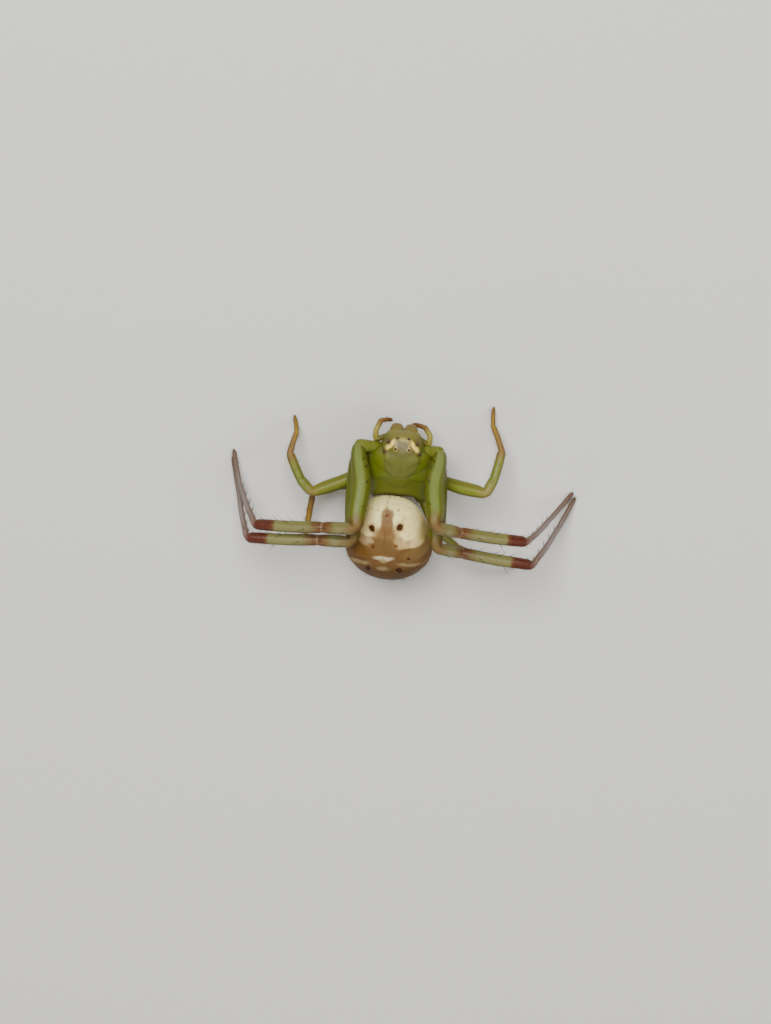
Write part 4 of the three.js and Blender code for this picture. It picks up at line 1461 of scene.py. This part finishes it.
def spike_tree():
    """Spikes on the vertices of a mesh, which carry their turn and size."""
    tree, given = new_tree("spikes on roots")
    turn, size = (
        node(
            tree, "GeometryNodeInputNamedAttribute", {"data_type": "FLOAT_VECTOR"}, {"Name": name},
        ).outputs[0]
        for name in ("turn", "size")
    )
    rotation = node(tree, "FunctionNodeEulerToRotation", None, {0: turn})
    finish_tree(tree, given, given["Geometry"], rotation.outputs[0], size)
    return tree


# How far a hair strays from its way, to either side, and its length as shares of the set length.
HAIR_STRAY = 0.3
HAIR_LENGTHS = (0.5, 1.25)
HAIR_LEAN = 0.9


def hair_tree():
    """Hairs scattered over a skin by how furry it is, leaning along each limb."""
    tree, given = new_tree("hairs on skin", Float="Density Length Thickness Lean", Int="Seed")
    unwrap, way = (
        node(
            tree, "GeometryNodeInputNamedAttribute", {"data_type": "FLOAT_VECTOR"}, {"Name": name},
        ).outputs[0]
        for name in ("OFBake", "way")
    )
    fur = node(tree, "GeometryNodeInputNamedAttribute", {"data_type": "FLOAT"}, {"Name": "fur"})
    density = node(
        tree, "ShaderNodeMath", {"operation": "MULTIPLY"}, {0: given["Density"], 1: fur.outputs[0]},
    )
    spots = node(
        tree, "GeometryNodeDistributePointsOnFaces", {"distribute_method": "RANDOM"},
        {"Mesh": given["Geometry"], "Density": density.outputs[0], "Seed": given["Seed"]},
    )
    rooted = node(
        tree, "GeometryNodeStoreNamedAttribute", {"data_type": "FLOAT_VECTOR", "domain": "POINT"},
        {"Geometry": spots.outputs["Points"], "Name": "root", "Value": unwrap},
    )
    cleared = node(
        tree, "GeometryNodeRemoveAttribute", None,
        {"Geometry": rooted.outputs["Geometry"], "Name": "OFBake"},
    )
    stray = node(
        tree, "FunctionNodeRandomValue", {"data_type": "FLOAT_VECTOR"},
        {0: (-HAIR_STRAY,) * 3, 1: (HAIR_STRAY,) * 3, "Seed": given["Seed"]},
    )
    leaning = node(
        tree, "ShaderNodeVectorMath", {"operation": "SCALE"}, {0: way, "Scale": given["Lean"]},
    )
    swayed = node(
        tree, "ShaderNodeVectorMath", {"operation": "ADD"},
        {0: leaning.outputs[0], 1: stray.outputs[0]},
    )
    aimed = node(
        tree, "ShaderNodeVectorMath", {"operation": "ADD"},
        {0: swayed.outputs[0], 1: spots.outputs["Normal"]},
    )
    rotation = node(
        tree, "FunctionNodeAlignRotationToVector", {"axis": "Z"}, {"Vector": aimed.outputs[0]},
    )
    share = node(
        tree, "FunctionNodeRandomValue", {"data_type": "FLOAT"},
        {2: HAIR_LENGTHS[0], 3: HAIR_LENGTHS[1], "Seed": given["Seed"]},
    )
    length = node(
        tree, "ShaderNodeMath", {"operation": "MULTIPLY"},
        {0: given["Length"], 1: share.outputs[1]},
    )
    scale = node(
        tree, "ShaderNodeCombineXYZ", None,
        {"X": given["Thickness"], "Y": given["Thickness"], "Z": length.outputs[0]},
    )
    finish_tree(
        tree, given, cleared.outputs["Geometry"], rotation.outputs[0], scale.outputs[0],
    )
    return tree


# The least height of hairs, spines and claws above the floor in millimetres, and the side of a
# spike's patch on the unwrap.
FLOOR_CLEARANCE = 0.002
PATCH = 0.003


def grown(name, base, tree, **values):
    """The plain mesh that a node tree makes of a base object, which is then taken away."""
    modifier = base.modifiers.new(name, "NODES")
    modifier.node_group = tree
    for item in tree.interface.items_tree:
        if item.item_type == "SOCKET" and item.in_out == "INPUT" and item.name in values:
            modifier[item.identifier] = values[item.name]
    depsgraph = bpy.context.evaluated_depsgraph_get()
    mesh = bpy.data.meshes.new_from_object(base.evaluated_get(depsgraph), depsgraph=depsgraph)
    base.modifiers.remove(modifier)
    mesh.name = name
    if not mesh.polygons:
        raise RuntimeError(f"{name} came out empty")
    places = np.empty(len(mesh.vertices) * 3, dtype=np.float32)
    mesh.vertices.foreach_get("co", places)
    places[2::3] = np.maximum(places[2::3], FLOOR_CLEARANCE * MM)
    mesh.vertices.foreach_set("co", places)
    mesh.update()
    return add_object(name, mesh)


def root_mesh(name, spikes, skin):
    """One vertex for each spike's root, with its turn, size and place on the skin's unwrap."""
    mesh = bpy.data.meshes.new(name)
    roots = [((root + SHIFT) * MM).tolist() for root, *_ in spikes]
    mesh.from_pydata(roots, [], [])
    turns, sizes, places = [], [], []
    tree = KDTree(len(skin.data.vertices))
    for vertex in skin.data.vertices:
        tree.insert(vertex.co, vertex.index)
    tree.balance()
    corner_of = {loop.vertex_index: loop.index for loop in skin.data.loops}
    layer = skin.data.uv_layers["OFBake"].data
    for (root, way, bend, length, radius), place in zip(spikes, roots):
        z = unit(way)
        x = square_to(bend, z)
        turns.append(Matrix((x, np.cross(z, x), z)).transposed().to_euler("XYZ"))
        sizes.append((radius * MM, radius * MM, length * MM))
        _, index, _ = tree.find(place)
        places.append((*layer[corner_of[index]].uv, 0.0))
    for key, values in (("turn", turns), ("size", sizes), ("root", places)):
        carry(mesh, key, values)
    return add_object(name, mesh)


def skin_object():
    skin = bpy.data.objects.get("skin")
    if skin is None:
        raise RuntimeError("The skin has to be built first")
    return skin


def grown_spikes(name, spikes, shape, finish):
    """Spines or claws as one plain mesh, grown from their roots on the skin."""
    base = root_mesh(f"{name} roots", spikes, skin_object())
    tree = bpy.data.node_groups.get("spikes on roots") or spike_tree()
    thing = grown(name, base, tree, Shape=shape, Patch=PATCH, Finish=finish)
    bpy.data.objects.remove(base)
    return thing


def back_slope(sideways, forward, step_out, step_on):
    """How steeply the carapace's back rises along a short step in plan."""
    ahead = back_height(sideways + step_out, forward + step_on)
    behind = back_height(sideways - step_out, forward - step_on)
    return (ahead - behind) / (2 * SLOPE_STEP)


def eye_seat(side, sideways, forward):
    """Centre and outward way of an eye's lens, on its mound."""
    slope_out = back_slope(sideways, forward, SLOPE_STEP, 0)
    slope_on = back_slope(sideways, forward, 0, SLOPE_STEP)
    outward = unit(np.array([-slope_out, -slope_on, 1.0]))
    seat = np.array([sideways, forward, back_height(sideways, forward)]) - outward * EYE_SINK
    seat[2] += EYE_LIFT
    centre = on_carapace(side, seat)
    return centre, unit(on_carapace(side, seat + outward) - centre)


class SPIDER_OT_eyes(bpy.types.Operator):
    """Builds the eight eyes as clear domes on their mounds."""

    bl_idname = "spider.eyes"
    bl_label = "Eyes"

    def execute(self, context):
        shell = Shell()
        names = []
        angles = np.linspace(0, math.pi, EYE_ROWS + 2)[1:-1]
        turn = round_turns(EYE_SIDES)
        for row, (sideways, forward, radius) in EYES.items():
            for side_name, side in SIDES.items():
                centre, outward = eye_seat(side, sideways, forward)
                flank = square_to(UP, outward)
                other = np.cross(outward, flank)
                ring = np.cos(turn)[None, :, None] * flank + np.sin(turn)[None, :, None] * other
                rise = np.cos(angles)[:, None, None] * outward
                points = centre + radius * (rise + np.sin(angles)[:, None, None] * ring)
                left = 0.12 * len(names)
                patch = (0.02 + left, 0.02, 0.12 + left, 0.98)
                top = np.clip(np.cos(angles), 0, 1)[:, None]
                shell.add_rings(points, 0, patch, 0.0, BODY_KIND, top, points, outward)
                names.append(f"eye_{row}_{side_name}")
        eyes = shell.make("eyes", [eye_material()])
        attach(eyes, "root")
        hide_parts(*names)
        return {"FINISHED"}


JAW_PROFILE = (
    (0, 0.6), (0.12, 0.86), (0.3, 0.98), (0.5, 1), (0.75, 0.9), (0.9, 0.74), (0.97, 0.5), (1, 0.25),
)
FANG_PROFILES = (((0, 1), (1, 0.85)), ((0, 0.85), (0.5, 0.6), (1, 0.1)))


class SPIDER_OT_jaws(bpy.types.Operator):
    """Builds the two jaws with their fangs."""

    bl_idname = "spider.jaws"
    bl_label = "Jaws"

    def execute(self, context):
        shell = Shell()
        names = []
        for side_name, side in SIDES.items():
            root, tip = on_carapace(side, JAW_ROOT), on_carapace(side, JAW_TIP)
            fang_tip = on_carapace(side, FANG_TIP)
            fang_root = tip + (root - tip) * FANG_START
            fang_bend = (fang_root + fang_tip) / 2 + (tip - root) * FANG_BEND
            left = 0.02 + 0.5 * len(names)
            build_limb(
                shell, 0, (left, 0.02, left + 0.45, 0.48), [root, tip], (JAW_RADIUS,),
                (JAW_PROFILE,), (0.02,), BODY_KIND, step=0.015, sides=36, squareness=JAW_SQUARENESS,
            )
            build_limb(
                shell, 1, (left, 0.52, left + 0.45, 0.98), [fang_root, fang_bend, fang_tip],
                (FANG_RADIUS, FANG_RADIUS), FANG_PROFILES, (0, 0), BODY_KIND, step=0.01, sides=18,
            )
            names.append(f"jaw_{side_name}")
        fang = horn_material("red brown fang horn", "#5a2a16", "#2a120a")
        jaws = shell.make("jaws", [jaw_material(), fang])
        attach(jaws, "root")
        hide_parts(*names)
        return {"FINISHED"}


class SPIDER_OT_spines(bpy.types.Operator):
    """Grows the spines and long bristles of the legs."""

    bl_idname = "spider.spines"
    bl_label = "Spines"

    def execute(self, context):
        shape = spike_shape("spine shape", sides=7, rows=6, bend=4.0)
        finish = horn_material("dark spine horn", "spine_brown", "#4a2c16")
        spines = grown_spikes("spines", leg_spikes(), shape, finish)
        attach(spines, "root")
        return {"FINISHED"}


class SPIDER_OT_claws(bpy.types.Operator):
    """Grows the two claws at the end of each toe."""

    bl_idname = "spider.claws"
    bl_label = "Claws"

    def execute(self, context):
        shape = spike_shape("claw shape", sides=10, rows=8, bend=2.6)
        finish = horn_material("red brown claw horn", "#4a2a18", "#24110a")
        claws = grown_spikes("claws", claw_spikes(), shape, finish)
        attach(claws, "root")
        return {"FINISHED"}


class SPIDER_OT_hairs(bpy.types.Operator):
    """Grows the fine hairs of the skin."""

    bl_idname = "spider.hairs"
    bl_label = "Hairs"

    def execute(self, context):
        settings = scene_settings()
        shape = spike_shape("hair shape", sides=3, rows=3, bend=3.0)
        hairs = grown(
            "hairs", skin_object(), hair_tree(), Shape=shape, Patch=PATCH, Seed=settings.seed,
            Density=settings.hairs_per_square / MM**2, Length=settings.hair_length,
            Thickness=settings.hair_thickness, Lean=HAIR_LEAN, Finish=hair_material(),
        )
        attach(hairs, "root")
        return {"FINISHED"}


# Half the floor's side in metres, and the light that comes from all round.
FLOOR_HALF = 0.5
SURROUND = {"colour": "#f0ece2", "strength": 0.35}

# Lights: name, place in millimetres, diameter in millimetres and power in watts.
LIGHTS = (
    ("key light", (25, -90, 130), 110, 0.335),
    ("fill light", (-100, 30, 120), 140, 0.09),
    ("rim light", (60, 110, 60), 60, 0.03),
)

# The camera looks down on the spider's back from a little in front of it.
CAMERA = {
    "tilt": 18.0,
    "roll": 5.5,
    "distance": 120.0,
    "target": (0.4, 0.869, 1.965),
    "focal_pixels": 3180.0,
    "image": (771, 1024),
    "sensor": 36.0,
}


def add_camera():
    """The camera at the photo's angle, with the photo's framing of the spider."""
    tilt, roll = radians(CAMERA["tilt"]), radians(CAMERA["roll"])
    flat_right = np.array([-1.0, 0.0, 0.0])
    flat_up = np.array([0.0, -math.cos(tilt), -math.sin(tilt)])
    back = np.array([0.0, -math.sin(tilt), math.cos(tilt)])
    right = math.cos(roll) * flat_right + math.sin(roll) * flat_up
    up = -math.sin(roll) * flat_right + math.cos(roll) * flat_up
    place = (np.array(CAMERA["target"]) + SHIFT + CAMERA["distance"] * back) * MM
    data = bpy.data.cameras.new("camera")
    data.sensor_width = CAMERA["sensor"]
    data.lens = CAMERA["focal_pixels"] / max(CAMERA["image"]) * data.sensor_width
    data.clip_start = 1 * MM
    data.clip_end = 5.0
    camera = add_object("camera", data)
    turn = Matrix((Vector(right), Vector(up), Vector(back))).transposed()
    camera.matrix_world = Matrix.Translation(Vector(place)) @ turn.to_4x4()
    bpy.context.scene.camera = camera


class SPIDER_OT_stage(bpy.types.Operator):
    """Sets up the floor, the lights and the camera."""

    bl_idname = "spider.stage"
    bl_label = "Stage"

    def execute(self, context):
        mesh = bpy.data.meshes.new("floor")
        turns = ((-1, -1), (1, -1), (1, 1), (-1, 1))
        corners = [(x * FLOOR_HALF, y * FLOOR_HALF, 0) for x, y in turns]
        mesh.from_pydata(corners, [], [(0, 1, 2, 3)])
        mesh.materials.append(board_material())
        add_object("floor", mesh)
        for name, place, size, power_watts in LIGHTS:
            light = bpy.data.lights.new(name, "AREA")
            light.shape = "DISK"
            light.size = size * MM
            light.energy = power_watts
            lamp = add_object(name, light)
            lamp.location = Vector(place) * MM
            lamp.rotation_euler = (-Vector(place)).to_track_quat("-Z", "Y").to_euler()
        world = bpy.data.worlds.new("soft studio")
        world.use_nodes = True
        background = world.node_tree.nodes["Background"]
        background.inputs["Color"].default_value = colour(SURROUND["colour"])
        background.inputs["Strength"].default_value = SURROUND["strength"]
        bpy.context.scene.world = world
        add_camera()
        return {"FINISHED"}


class SPIDER_PT_panel(bpy.types.Panel):
    """Lists the pieces of the spider."""

    bl_idname = "SPIDER_PT_panel"
    bl_label = "Crab spider"
    bl_space_type = "VIEW_3D"
    bl_region_type = "UI"
    bl_category = "Crab spider"

    def draw(self, context):
        for operator in OPERATORS:
            self.layout.operator(operator.bl_idname)


OPERATORS = (
    SPIDER_OT_skin,
    SPIDER_OT_eyes,
    SPIDER_OT_jaws,
    SPIDER_OT_spines,
    SPIDER_OT_claws,
    SPIDER_OT_hairs,
    SPIDER_OT_stage,
)
CLASSES = (BodySettings, *OPERATORS, SPIDER_PT_panel)


def register():
    for cls in CLASSES:
        bpy.utils.register_class(cls)
    bpy.types.Scene.crab_spider = PointerProperty(type=BodySettings)


def unregister():
    del bpy.types.Scene.crab_spider
    for cls in reversed(CLASSES):
        bpy.utils.unregister_class(cls)


def main():
    register()
    for operator in OPERATORS:
        getattr(bpy.ops.spider, operator.bl_idname.split(".")[1])()


if __name__ == "__main__":
    main()
